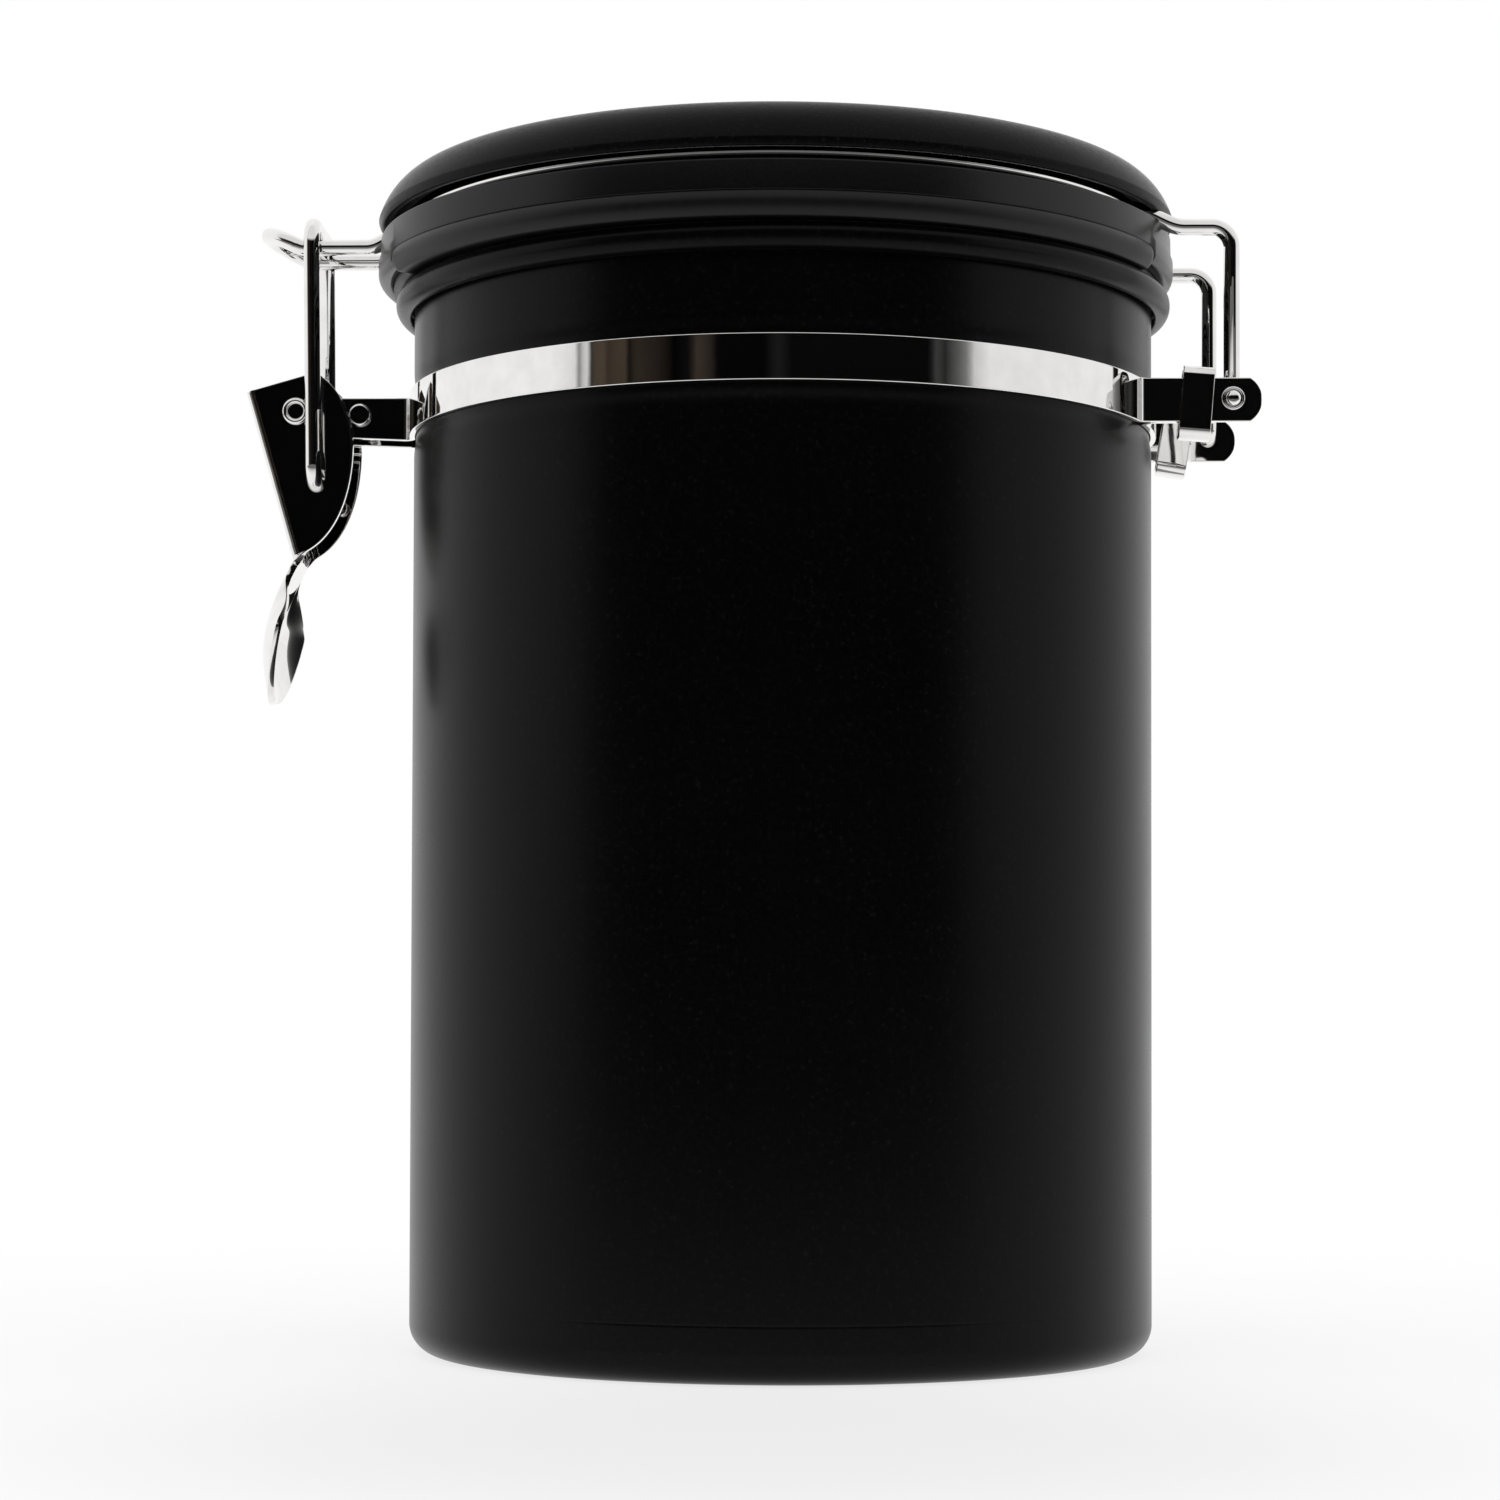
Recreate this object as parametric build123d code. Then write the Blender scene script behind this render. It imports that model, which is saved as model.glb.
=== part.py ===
from build123d import *
from math import asin, atan, cos, degrees, radians, sin, sqrt, tan
import os

# Coffee canister with a clamp-down lid and a one-way vent valve.
# Millimetres, +Z up. The origin is the centre of the base, the latch points to -X
# and the lid hinge to +X.

# Canister shell
body_radius = 60.2
wall = 0.8
body_height = 171.9
base_corner_radius = 5.0
seam_height = 9.0
base_groove_inset = 16.2
base_groove_depth = 0.8
base_groove_run = 2.5
seat_depth = 0.3
seat_run = 3.6
rim_reach = 3.0
rim_side = 0.3
rim_curl_radius = 1.7
rim_curl_turn = 88.0

# Wire stock and the clearances that pieces share
wire_radius = 1.3
run_clearance = 0.05
side_clearance = 0.1
overrun = 2.0

# Clamp band: two half bands with lugs in front and ears behind
band_thickness = 1.0
band_height = 7.0
band_drop = 20.0
band_clearance = 0.1
band_bend_radius = 2.0
lug_gap = 6.7
lug_height = 6.3
lug_rise = 0.35
lug_root = 1.6
lug_bend_radius = 1.6
ear_gap = 41.0
ear_end = 4.6
ear_crop = 1.9
bridge_end = 3.0

# Sleeves that hold each ear to the rear bridge
clip_thickness = 0.8
clip_width = 5.0
clip_middle = 5.7
clip_top_room = 1.0
clip_bottom_room = 2.0
clip_splay = 1.2
clip_fold_radius = 1.4
clip_roll_radius = 1.7
clip_lean_near = 4.5
clip_lean_far = 9.0

# Lever pivot and the lug rivet that stops the lever
pivot_reach = 18.4
pivot_rise = 1.1
eyelet_radius = 1.7
eyelet_wall = 0.45
eyelet_flange_radius = 2.2
eyelet_flange = 0.5
spacer_wall = 0.9
stop_distance = 10.4
stop_drop = 0.5
rivet_radius = 1.25
rivet_head_radius = 1.8
rivet_head = 1.05
rivet_edge = 0.25

# Latch lever: a folded channel that ends in a dished thumb piece
sheet = 1.0
lever_width = 11.4
lever_tilt = 15.9
lever_bend_radius = 1.3
cheek_width = 15.3
cheek_length = 27.9
web_length = 28.66
pivot_from_web = 7.08
pivot_from_top = 5.3
bail_arm = 12.5
countersink_depth = 0.6
countersink_reach = 0.85
neck_width = 9.0
spoon_width = 25.0
spoon_belly_drop = 18.6
spoon_tip_drop = 23.2
spoon_bow_radius = 40.0
spoon_dish_radius = 25.0
spoon_shoulder = 10.2
spoon_sweep = 100.0
# Right-hand edge of a cheek: share of its width from the web, share of its length from the top
cheek_top_share = 0.77
cheek_upper_shares = [(0.835, 0.035), (0.985, 0.26), (0.941, 0.50)]
cheek_lower_shares = [(0.737, 0.747), (0.18, 0.996)]

# Wire bail
bail_spacing = 17.4
bail_lean = 0.6
bail_foot_radius = 3.0
bail_top_radius = 3.6
bail_pin_stub = 0.7
hook_gap = 1.05

# Hinge pins, lid wire and hook
hinge_reach = 10.6
hinge_rise = 0.2
hinge_wire_spacing = 38.0
hinge_bend_radius = 3.2
pin_bend_radius = 1.6
pin_stub = 0.8
pin_hole_countersink = 0.4
hook_spacing = 11.8
hook_beyond = 2.0
hook_tilt = 26.0
hook_bend_radius = 4.0
wire_ring_inset = 1.2
wire_exit_radius = 3.0

# Lid: gasket, skirt, liner and cover, each standing on the one below
lid_drift = 1.2
seal_gap = 0.15
gasket_height = 3.75
gasket_overhang = 1.8
gasket_foot = 0.7
gasket_width = 7.0
gasket_bulge_share = 0.55
skirt_height = 4.5
skirt_overhang = 1.3
skirt_lobe_half_angle = 22.0
skirt_lobe_drop = 2.8
skirt_lobe_thickness = 2.3
skirt_neck_rise = 2.2
skirt_neck_chamfer = 0.6
wire_seat = 0.5
liner_thickness = 1.2
liner_drop = 2.4
liner_bend_radius = 1.8
cover_thickness = 1.5
cover_gap = 1.5
lip_height = 1.7
lip_flare = 0.4
shoulder_width = 8.5
shoulder_height = 7.1
shoulder_depth = 11.4
crown_rise = 1.4
press_ring_width = 2.4
press_ring_gap = 0.3

# One-way vent valve in the middle of the lid
valve_radius = 10.5
valve_wall = 1.6
valve_flange = 1.5
valve_flange_reach = 3.5
valve_flange_round = 0.6
valve_seat_rise = 4.0
valve_seat_thickness = 1.4
valve_port_radius = 1.1
valve_port_circle = 4.2
valve_ports = 6
disc_thickness = 0.8
disc_radius = 6.9
disc_lift = 0.8
disc_gap = 0.1
retainer_thickness = 1.2
retainer_rim = 1.4
retainer_bar = 2.0
filter_thickness = 0.9
filter_ledge = 1.2
filter_ledge_height = 0.8
cap_thickness = 1.4
cap_overhang = 2.5
cap_round = 0.6
cap_plug = 2.4
cap_plug_wall = 1.0
cap_slot_width = 1.6
cap_slot_length = 5.0
cap_slots = 8

# Radii and heights that follow from the sizes above
wall_line = body_radius - wall / 2
rim_radius = body_radius + rim_reach
band_inner = body_radius - seat_depth + band_clearance
band_line = band_inner + band_thickness / 2
band_outer = band_inner + band_thickness
band_middle = body_height - band_drop
band_top = band_middle + band_height / 2
band_bottom = band_middle - band_height / 2
lug_line = (lug_gap + band_thickness) / 2
ear_line = (ear_gap + band_thickness) / 2
bridge_line = (ear_gap - band_thickness) / 2
hinge_x = band_outer + hinge_reach
hinge_z = band_middle + hinge_rise
pivot_x = -(band_outer + pivot_reach)
pivot_z = band_middle + pivot_rise
rivet_x = pivot_x + stop_distance
rivet_z = pivot_z - stop_drop
wire_hole = wire_radius + run_clearance
gasket_bottom = body_height + seal_gap
skirt_bottom = gasket_bottom + gasket_height
skirt_top = skirt_bottom + skirt_height
skirt_radius = rim_radius + skirt_overhang
neck_top = skirt_top + skirt_neck_rise
gasket_radius = rim_radius + gasket_overhang
gasket_inner = gasket_radius - gasket_width
wire_ring_radius = rim_radius - wire_ring_inset
wire_z = skirt_top - wire_seat
lip_bottom = skirt_top + cover_gap
lip_top = lip_bottom + lip_height
lip_radius = skirt_radius + lip_flare
shoulder_top = lip_top + shoulder_height
cover_top = shoulder_top + crown_rise
bail_x = pivot_x + bail_arm * sin(radians(lever_tilt))
bail_z = pivot_z - bail_arm * cos(radians(lever_tilt))
bail_top_x = bail_x - bail_lean
bail_top_z = wire_z + 2 * wire_radius + hook_gap
groove_neck = wire_ring_radius - wire_radius - side_clearance
lobe_inner = lip_radius - skirt_lobe_thickness
liner_bottom = skirt_bottom - liner_drop
seat_bottom = liner_bottom + valve_seat_rise
disc_bottom = seat_bottom + valve_seat_thickness + disc_gap
retainer_bottom = disc_bottom + disc_thickness + disc_lift + disc_gap
valve_bore = valve_radius - valve_wall
valve_bottom = liner_bottom - valve_flange

LID = Pos(-lid_drift, 0, 0)
LEVER_PLANE = Plane(
    origin=(pivot_x, 0, pivot_z),
    x_dir=(cos(radians(lever_tilt)), 0, sin(radians(lever_tilt))),
    z_dir=(0, -1, 0),
)


def spin(profile, angle=360.0):
    """Turn a profile drawn as (radius, height) about the upright axis."""
    return revolve(Plane.XZ * profile, axis=Axis.Z, revolution_arc=angle)


def box_profile(inner, outer, low, high):
    """Rectangle in (radius, height) between two radii and two heights."""
    return Pos((inner + outer) / 2, (low + high) / 2) * Rectangle(outer - inner, high - low)


def tube(x, z, outer, inner, half_length):
    """Round tube along Y, centred on the middle plane."""
    ring = Circle(outer) - Circle(inner)
    return extrude(Plane.XZ * Pos(x, z) * ring, half_length, both=True)


def rod_between(x, z, radius, near, far):
    """Round bar along Y from one distance to another on the near side."""
    return extrude(Plane.XZ.offset(near) * Pos(x, z) * Circle(radius), far - near)


def jog(start, heading, shift, run):
    """S-bend of two equal tangent arcs: moves `shift` to the left over a length `run`."""
    radius = (run**2 + shift**2) / (4 * abs(shift))
    turn = degrees(2 * atan(abs(shift) / run)) * (1 if shift > 0 else -1)
    first = JernArc(start=start, tangent=heading, radius=radius, arc_size=turn)
    second = JernArc(start=first @ 1, tangent=first % 1, radius=radius, arc_size=-turn)
    return [first, second]


def leave_circle(circle_radius, line_y, bend_radius, side):
    """Bend from a circle about the origin to a line along X on the near side.

    Returns the point on the line, the bend's middle and the point on the circle.
    """
    centre = Vector(side * sqrt((circle_radius + bend_radius)**2 - (line_y + bend_radius)**2),
                    -(line_y + bend_radius))
    on_line = Vector(centre.X, -line_y)
    on_circle = centre * (circle_radius / (circle_radius + bend_radius))
    middle = (on_line + on_circle) / 2 - centre
    return on_line, centre + middle.normalized() * bend_radius, on_circle


# Canister shell

def body_tube():
    """Drawn wall with a soft seat for the band and a rim curled outwards."""
    seat_low = band_bottom - seat_run
    first = Line((wall_line, seam_height), (wall_line, seat_low))
    into_seat = jog(first @ 1, (0, 1), seat_depth, seat_run)
    seat = Line(into_seat[-1] @ 1, (wall_line - seat_depth, band_top))
    out_of_seat = jog(seat @ 1, (0, 1), -seat_depth, seat_run)
    over_radius = rim_reach / 2
    upper = Line(out_of_seat[-1] @ 1, (wall_line, body_height - wall / 2 - over_radius))
    over = JernArc(start=upper @ 1, tangent=(0, 1), radius=over_radius, arc_size=-180)
    side = Line(over @ 1, (over @ 1) - Vector(0, rim_side))
    curl = JernArc(start=side @ 1, tangent=(0, -1), radius=rim_curl_radius,
                   arc_size=-rim_curl_turn)
    path = [first, *into_seat, seat, *out_of_seat, upper, over, side, curl]
    return spin(trace(path, wall))


def base_cup():
    """Pressed bottom with a ring groove and a rounded corner, welded to the tube."""
    level = wall / 2
    corner = base_corner_radius - wall / 2
    middle = Line((0, level), (body_radius - base_groove_inset, level))
    rise = jog(middle @ 1, (1, 0), base_groove_depth, base_groove_run)
    fall = jog(rise[-1] @ 1, (1, 0), -base_groove_depth, base_groove_run)
    flat = Line(fall[-1] @ 1, (wall_line - corner, level))
    turn = JernArc(start=flat @ 1, tangent=(1, 0), radius=corner, arc_size=90)
    side = Line(turn @ 1, (wall_line, seam_height))
    return spin(trace([middle, *rise, *fall, flat, turn, side], wall))


# Clamp band

def band_outline():
    """Side view of a half band: rounded lug in front, cropped ear behind."""
    lug_middle = band_middle + lug_rise
    lug_start = -(band_outer + lug_root)
    lug_round = Pos(pivot_x, lug_middle) * Circle(lug_height / 2)
    lug = box_profile(pivot_x, lug_start, lug_middle - lug_height / 2, lug_middle + lug_height / 2)
    tip = hinge_x + ear_end
    crop = tip - ear_crop
    strip = box_profile(lug_start, crop, band_bottom, band_top)
    end = make_face([
        Line((crop, band_bottom), (crop, band_top)),
        ThreePointArc((crop, band_top), (tip, band_middle), (crop, band_bottom)),
    ])
    return lug + lug_round + strip + end


def half_band():
    """Near half of the band with its lug and ear, bored for the rivets and the hinge pin."""
    lug_point, lug_mid, lug_circle = leave_circle(band_line, lug_line, lug_bend_radius, -1)
    ear_point, ear_mid, ear_circle = leave_circle(band_line, ear_line, band_bend_radius, 1)
    lug_tip = pivot_x - lug_height
    plan = trace([
        Line((lug_tip, -lug_line), lug_point),
        ThreePointArc(lug_point, lug_mid, lug_circle),
        ThreePointArc(lug_circle, (0, -band_line), ear_circle),
        ThreePointArc(ear_circle, ear_mid, ear_point),
        Line(ear_point, (hinge_x + ear_end + overrun, -ear_line)),
    ], band_thickness)
    strip = extrude(Pos(0, 0, band_bottom) * plan, band_height)
    strip = strip & extrude(Plane.XZ * band_outline(), body_radius + overrun + band_thickness, both=True)
    lug_in = lug_line - band_thickness
    lug_out = lug_line + band_thickness
    ear_out = ear_line + band_thickness / 2
    strip -= rod_between(pivot_x, pivot_z, eyelet_radius, lug_in, lug_out)
    strip -= rod_between(rivet_x, rivet_z, rivet_radius, lug_in, lug_out)
    strip -= rod_between(hinge_x, hinge_z, wire_hole, ear_line - band_thickness, ear_out)
    mouth = Plane.XZ.offset(ear_out) * Pos(hinge_x, hinge_z)
    strip -= extrude(mouth * Circle(wire_hole + pin_hole_countersink), -pin_hole_countersink, taper=45)
    return strip


def rear_bridge():
    """Strap round the back whose two flanges lie against the ears."""
    bend = band_bend_radius
    centre = Vector(sqrt((band_line + bend)**2 - (bridge_line - bend)**2), -(bridge_line - bend))
    on_flange = Vector(centre.X, -bridge_line)
    on_circle = centre * (band_line / (band_line + bend))
    middle = centre + ((on_flange + on_circle) / 2 - centre).normalized() * bend
    flip = [Vector(point.X, -point.Y) for point in (on_flange, middle, on_circle)]
    end = hinge_x - bridge_end
    plan = trace([
        Line((end, -bridge_line), on_flange),
        ThreePointArc(on_flange, middle, on_circle),
        ThreePointArc(on_circle, (band_line, 0), flip[2]),
        ThreePointArc(flip[2], flip[1], flip[0]),
        Line(flip[0], (end, bridge_line)),
    ], band_thickness)
    return extrude(Pos(0, 0, band_bottom) * plan, band_height)


def ear_clip(lean):
    """Closed sleeve round one ear and the bridge flange, wider at the bottom roll."""
    outer = ear_line + band_thickness / 2 + run_clearance + clip_thickness
    inner = bridge_line - band_thickness / 2 - side_clearance - clip_thickness
    top = band_top + clip_top_room + clip_thickness
    bottom = band_bottom - clip_bottom_room - clip_thickness
    loop = FilletPolyline((-outer, top), (-outer, bottom), (-inner + clip_splay, bottom), (-inner, top),
                          radius=[clip_fold_radius, clip_roll_radius, clip_roll_radius,
                                  clip_fold_radius], close=True)
    section = make_face(loop)
    section -= offset(section, -clip_thickness, kind=Kind.INTERSECTION)
    sleeve = extrude(Plane.YZ.offset(hinge_x - clip_middle) * section, clip_width / 2, both=True)
    return sleeve.rotate(Axis((hinge_x - clip_middle, 0, band_middle), (0, 1, 0)), lean)


# Rivets and spacers of the latch pivot

def lug_rivet():
    """Solid rivet with two flat heads that stop the closed lever."""
    lug_out = lug_line + band_thickness / 2
    shank = extrude(Plane.XZ * Pos(rivet_x, rivet_z) * Circle(rivet_radius), lug_out, both=True)
    head = rod_between(rivet_x, rivet_z, rivet_head_radius, lug_out, lug_out + rivet_head)
    head = chamfer(head.edges().group_by(Axis.Y)[0], rivet_edge)
    return shank + head + mirror(head, about=Plane.XZ)


def pivot_eyelet():
    """Hollow rivet through both lugs and both cheeks, flanged outside the cheeks."""
    bore = eyelet_radius - eyelet_wall
    out = lever_width / 2 + side_clearance
    barrel = tube(pivot_x, pivot_z, eyelet_radius, bore, out + eyelet_flange)
    flange = rod_between(pivot_x, pivot_z, eyelet_flange_radius, out, out + eyelet_flange)
    flange -= rod_between(pivot_x, pivot_z, bore, out, out + eyelet_flange)
    return barrel + flange + mirror(flange, about=Plane.XZ)


def lug_spacer():
    """Sleeve on the stop rivet that keeps the lugs apart."""
    return tube(rivet_x, rivet_z, rivet_radius + spacer_wall, rivet_radius, lug_gap / 2)


def pivot_spacer():
    """Sleeve on the pivot eyelet that keeps the lugs apart."""
    return tube(pivot_x, pivot_z, eyelet_radius + spacer_wall, eyelet_radius, lug_gap / 2)


# Latch lever

def cheek_outline():
    """Side view of the channel, in the lever's frame with the pivot at zero."""
    left = -pivot_from_web
    top = pivot_from_top

    def place(shares):
        return Vector(left + shares[0] * cheek_width, top - shares[1] * cheek_length)

    upper = [place(shares) for shares in cheek_upper_shares]
    lower = [place(shares) for shares in cheek_lower_shares]
    shoulder = place((cheek_top_share, 0))
    foot = Vector(left, top - cheek_length)
    return make_face([
        Line((left, top), shoulder),
        Line(shoulder, upper[0]),
        ThreePointArc(*upper),
        ThreePointArc(upper[2], lower[0], lower[1]),
        Line(lower[1], foot),
        Line(foot, (left, top)),
    ])


def lever_channel():
    """Folded channel: two cheeks and the web on the side away from the canister."""
    half = lever_width / 2
    block = extrude(LEVER_PLANE * cheek_outline(), half, both=True)
    web_edges = [edge for edge in block.edges()
                 if abs(LEVER_PLANE.to_local_coords(edge.center()).X + pivot_from_web) < run_clearance
                 and abs(abs(edge.center().Y) - half) < run_clearance]
    block = fillet(web_edges, lever_bend_radius)
    room = box_profile(sheet - pivot_from_web, cheek_width, -2 * cheek_length, 2 * pivot_from_top)
    core = extrude(LEVER_PLANE * room, half - sheet, both=True)
    inside = pivot_from_web - sheet
    core_edges = [edge for edge in core.edges()
                  if abs(LEVER_PLANE.to_local_coords(edge.center()).X + inside) < run_clearance
                  and abs(abs(edge.center().Y) - half + sheet) < run_clearance]
    return block - fillet(core_edges, lever_bend_radius - sheet)


def spoon():
    """Dished thumb piece: a doubly curved shell trimmed to a leaf outline."""
    web_foot = LEVER_PLANE.from_local_coords(Vector(-pivot_from_web, pivot_from_top - web_length))
    axis_x = web_foot.X + sqrt(spoon_bow_radius**2 - spoon_belly_drop**2)
    axis_z = web_foot.Z - spoon_belly_drop
    dish_x = axis_x - spoon_bow_radius + spoon_dish_radius
    ring = Circle(spoon_dish_radius) - Circle(spoon_dish_radius - sheet)
    ring = ring & Pos(-spoon_dish_radius) * Rectangle(spoon_dish_radius, spoon_width + 2 * overrun)
    spoon_axis = Axis((axis_x, 0, axis_z), (0, 1, 0))
    shell = revolve(Pos(dish_x, 0, axis_z) * ring, axis=spoon_axis, revolution_arc=spoon_sweep)
    shell = shell.rotate(spoon_axis, -spoon_sweep / 2)
    return shell & leaf_prism(web_foot)


def leaf_prism(web_foot):
    """Prism along X with the thumb piece's leaf outline and its straight neck."""
    radius = spoon_width / 2
    neck = neck_width / 2
    widest = web_foot.Z - spoon_tip_drop + radius
    side = jog((radius, widest), (0, 1), radius - neck, spoon_shoulder)
    neck_top_z = web_foot.Z + web_length - cheek_length + sheet
    stem = Line(side[-1] @ 1, (neck, neck_top_z))
    tip = CenterArc((0, widest), radius, -90, 90)
    right = [tip, *side, stem]
    left = [mirror(edge, about=Plane.YZ) for edge in right]
    outline = make_face([*right, Line((neck, neck_top_z), (-neck, neck_top_z)), *left])
    span = 2 * pivot_from_web + spoon_bow_radius
    return extrude(Plane.YZ.offset(web_foot.X) * outline, span, both=True)


def latch_lever():
    """The whole lever: channel, neck and thumb piece, with its two pairs of holes."""
    strap = box_profile(-pivot_from_web, sheet - pivot_from_web,
                        pivot_from_top - web_length - sheet, pivot_from_top - cheek_length + sheet)
    neck = extrude(LEVER_PLANE * strap, neck_width / 2, both=True)
    lever = lever_channel() + neck + spoon()
    half = lever_width / 2
    bores = rod_between(pivot_x, pivot_z, eyelet_radius + run_clearance, -half - overrun, half + overrun)
    bores += rod_between(bail_x, bail_z, wire_hole, -half - overrun, half + overrun)
    mouth = Plane.XZ.offset(half) * Pos(bail_x, bail_z) * Circle(wire_hole + countersink_reach)
    throat = Plane.XZ.offset(half - countersink_depth) * Pos(bail_x, bail_z) * Circle(wire_hole)
    sink = loft([mouth, throat])
    stop = rod_between(rivet_x, rivet_z, rivet_head_radius + side_clearance, -half - overrun, half + overrun)
    return lever - bores - sink - mirror(sink, about=Plane.XZ) - stop


# Wire pieces

def bail_path():
    """Centre line of the bail from one pin to the other."""
    leg = bail_spacing / 2
    pin = lever_width / 2 - sheet - bail_pin_stub
    return FilletPolyline(
        (bail_x, -pin, bail_z), (bail_x, -leg, bail_z), (bail_top_x, -leg, bail_top_z),
        (bail_top_x, leg, bail_top_z), (bail_x, leg, bail_z), (bail_x, pin, bail_z),
        radius=[bail_foot_radius, bail_top_radius, bail_top_radius, bail_foot_radius],
    )


def latch_bail():
    """Wire loop that the lever pulls down over the hook."""
    path = bail_path()
    start = Plane(origin=path @ 0, z_dir=path % 0)
    return sweep(start * Circle(wire_radius), path=path)


def ring_wire_half():
    """Near half of the lid wire's centre line, from the hinge pin to the tip of the hook."""
    hinge_y = hinge_wire_spacing / 2
    hook_y = hook_spacing / 2
    pin_tip = ear_line + band_thickness / 2 + pin_stub
    out_line, out_mid, out_circle = leave_circle(wire_ring_radius, hinge_y, wire_exit_radius, 1)
    in_line, in_mid, in_circle = leave_circle(wire_ring_radius, hook_y, wire_exit_radius, -1)

    def at_ring(point):
        return Vector(point.X - lid_drift, point.Y, wire_z)

    tilt = radians(hook_tilt)
    bend = Vector(bail_top_x - hook_beyond, -hook_y, wire_z)
    leg = FilletPolyline(
        (hinge_x, -pin_tip, hinge_z), (hinge_x, -hinge_y, hinge_z), (hinge_x, -hinge_y, wire_z),
        at_ring(out_line), radius=[pin_bend_radius, hinge_bend_radius],
    )
    reach = hook_bend_radius * tan(tilt / 2)
    up = Vector(-cos(tilt), 0, sin(tilt))
    hook_start = bend + up * (reach + run_clearance)
    tip = Vector(hook_start.X, 0, hook_start.Z) + up * hook_y
    corner = Vector(hook_start.X, 0, hook_start.Z) + (up - Vector(0, 1, 0)) * (hook_y * sin(radians(45)))
    hook = FilletPolyline(at_ring(in_line), bend, hook_start, radius=hook_bend_radius)
    return [
        *leg.edges(),
        ThreePointArc(at_ring(out_line), at_ring(out_mid), at_ring(out_circle)),
        ThreePointArc(at_ring(out_circle), (-lid_drift, -wire_ring_radius, wire_z), at_ring(in_circle)),
        ThreePointArc(at_ring(in_circle), at_ring(in_mid), at_ring(in_line)),
        *hook.edges(),
        ThreePointArc(hook_start, corner, tip),
    ]


def ring_tube(radius):
    """Round tube along the whole centre line of the lid wire."""
    near = ring_wire_half()
    far = [twin for edge in near for twin in mirror(edge, about=Plane.XZ).edges()]
    path = Wire([*near, *far])
    start = Plane(origin=path @ 0, z_dir=path % 0)
    return sweep(start * Circle(radius), path=path)


def ring_wire():
    """One wire: two hinge pins, the ring round the lid and the hook in front."""
    return ring_tube(wire_radius)


# Lid

def sector(profile, half_angle, side):
    """Part turn of a profile about the upright axis, centred on +X or -X."""
    turned = spin(profile, 2 * half_angle)
    return turned.rotate(Axis.Z, -half_angle if side > 0 else 180 - half_angle)


def lid_gasket():
    """Soft ring under the skirt, cut back where the skirt's two lobes hang over it."""
    foot = rim_radius + gasket_foot
    bulge_z = gasket_bottom + gasket_bulge_share * gasket_height
    profile = make_face([
        Line((gasket_inner, skirt_bottom), (gasket_inner, gasket_bottom)),
        Line((gasket_inner, gasket_bottom), (foot, gasket_bottom)),
        ThreePointArc((foot, gasket_bottom), (gasket_radius, bulge_z), (skirt_radius, skirt_bottom)),
        Line((skirt_radius, skirt_bottom), (gasket_inner, skirt_bottom)),
    ])
    gasket = spin(profile)
    room = box_profile(lobe_inner - side_clearance, lip_radius + overrun,
                       gasket_bottom - overrun, skirt_bottom + overrun)
    room_half_angle = skirt_lobe_half_angle + degrees(side_clearance / lobe_inner)
    for side in (-1, 1):
        gasket -= sector(room, room_half_angle, side)
    return LID * gasket


def lid_skirt():
    """Moulded ring that grips the wire in a snap groove, with lobes at latch and hinge."""
    ring = box_profile(gasket_inner, skirt_radius, skirt_bottom, skirt_top)
    ring += box_profile(gasket_inner, groove_neck, skirt_bottom, neck_top)
    ring = chamfer(ring.vertices().group_by(Axis.Y)[-1].sort_by(Axis.X)[0], skirt_neck_chamfer)
    skirt = spin(ring)
    low = skirt_bottom - skirt_lobe_drop
    middle = (lobe_inner + skirt_lobe_thickness * sin(radians(45)),
              skirt_bottom - skirt_lobe_drop * sin(radians(45)))
    lobe = make_face([
        Line((lobe_inner, low), (lobe_inner, skirt_bottom)),
        Line((lobe_inner, skirt_bottom), (lip_radius, skirt_bottom)),
        ThreePointArc((lip_radius, skirt_bottom), middle, (lobe_inner, low)),
    ])
    lobe += box_profile(lobe_inner, lip_radius, skirt_bottom, skirt_top)
    for side in (-1, 1):
        skirt += sector(lobe, skirt_lobe_half_angle, side)
    return LID * skirt - ring_tube(wire_hole)


def lid_liner():
    """Inner tray that closes the lid from below and hooks over the skirt's neck."""
    level = liner_bottom + liner_thickness / 2
    rim = gasket_inner - side_clearance - liner_thickness / 2
    ledge = neck_top + liner_thickness / 2
    path = FilletPolyline((0, level), (rim, level), (rim, ledge), (groove_neck, ledge),
                          radius=[liner_bend_radius, liner_thickness])
    tray = spin(trace(path, liner_thickness))
    return LID * (tray - Pos(0, 0, level) * Cylinder(valve_radius + run_clearance, 2 * liner_thickness))


def cover_face(inset):
    """Half section of everything under the cover's outer skin, drawn in by `inset`."""
    centre_z = shoulder_top - shoulder_depth
    centre_r = lip_radius - shoulder_width
    lift = (lip_top - centre_z) / shoulder_depth
    across = shoulder_width / sqrt(1 - lift**2) - inset
    down = shoulder_depth - inset
    start_angle = degrees(asin((lip_top - centre_z) / down))
    shoulder = EllipticalCenterArc((centre_r, centre_z), across, down, start_angle=start_angle,
                                   arc_size=90 - start_angle)
    crown_radius = (centre_r**2 + crown_rise**2) / (2 * crown_rise)
    half_turn = asin(centre_r / crown_radius) / 2
    top = cover_top - inset
    crown_middle = (crown_radius * sin(half_turn), top - crown_radius * (1 - cos(half_turn)))
    foot = (skirt_radius - inset, lip_bottom)
    return make_face([
        Line(foot, shoulder @ 0),
        shoulder,
        ThreePointArc(shoulder @ 1, crown_middle, (0, top)),
        Line((0, top), (0, lip_bottom)),
        Line((0, lip_bottom), foot),
    ])


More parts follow.
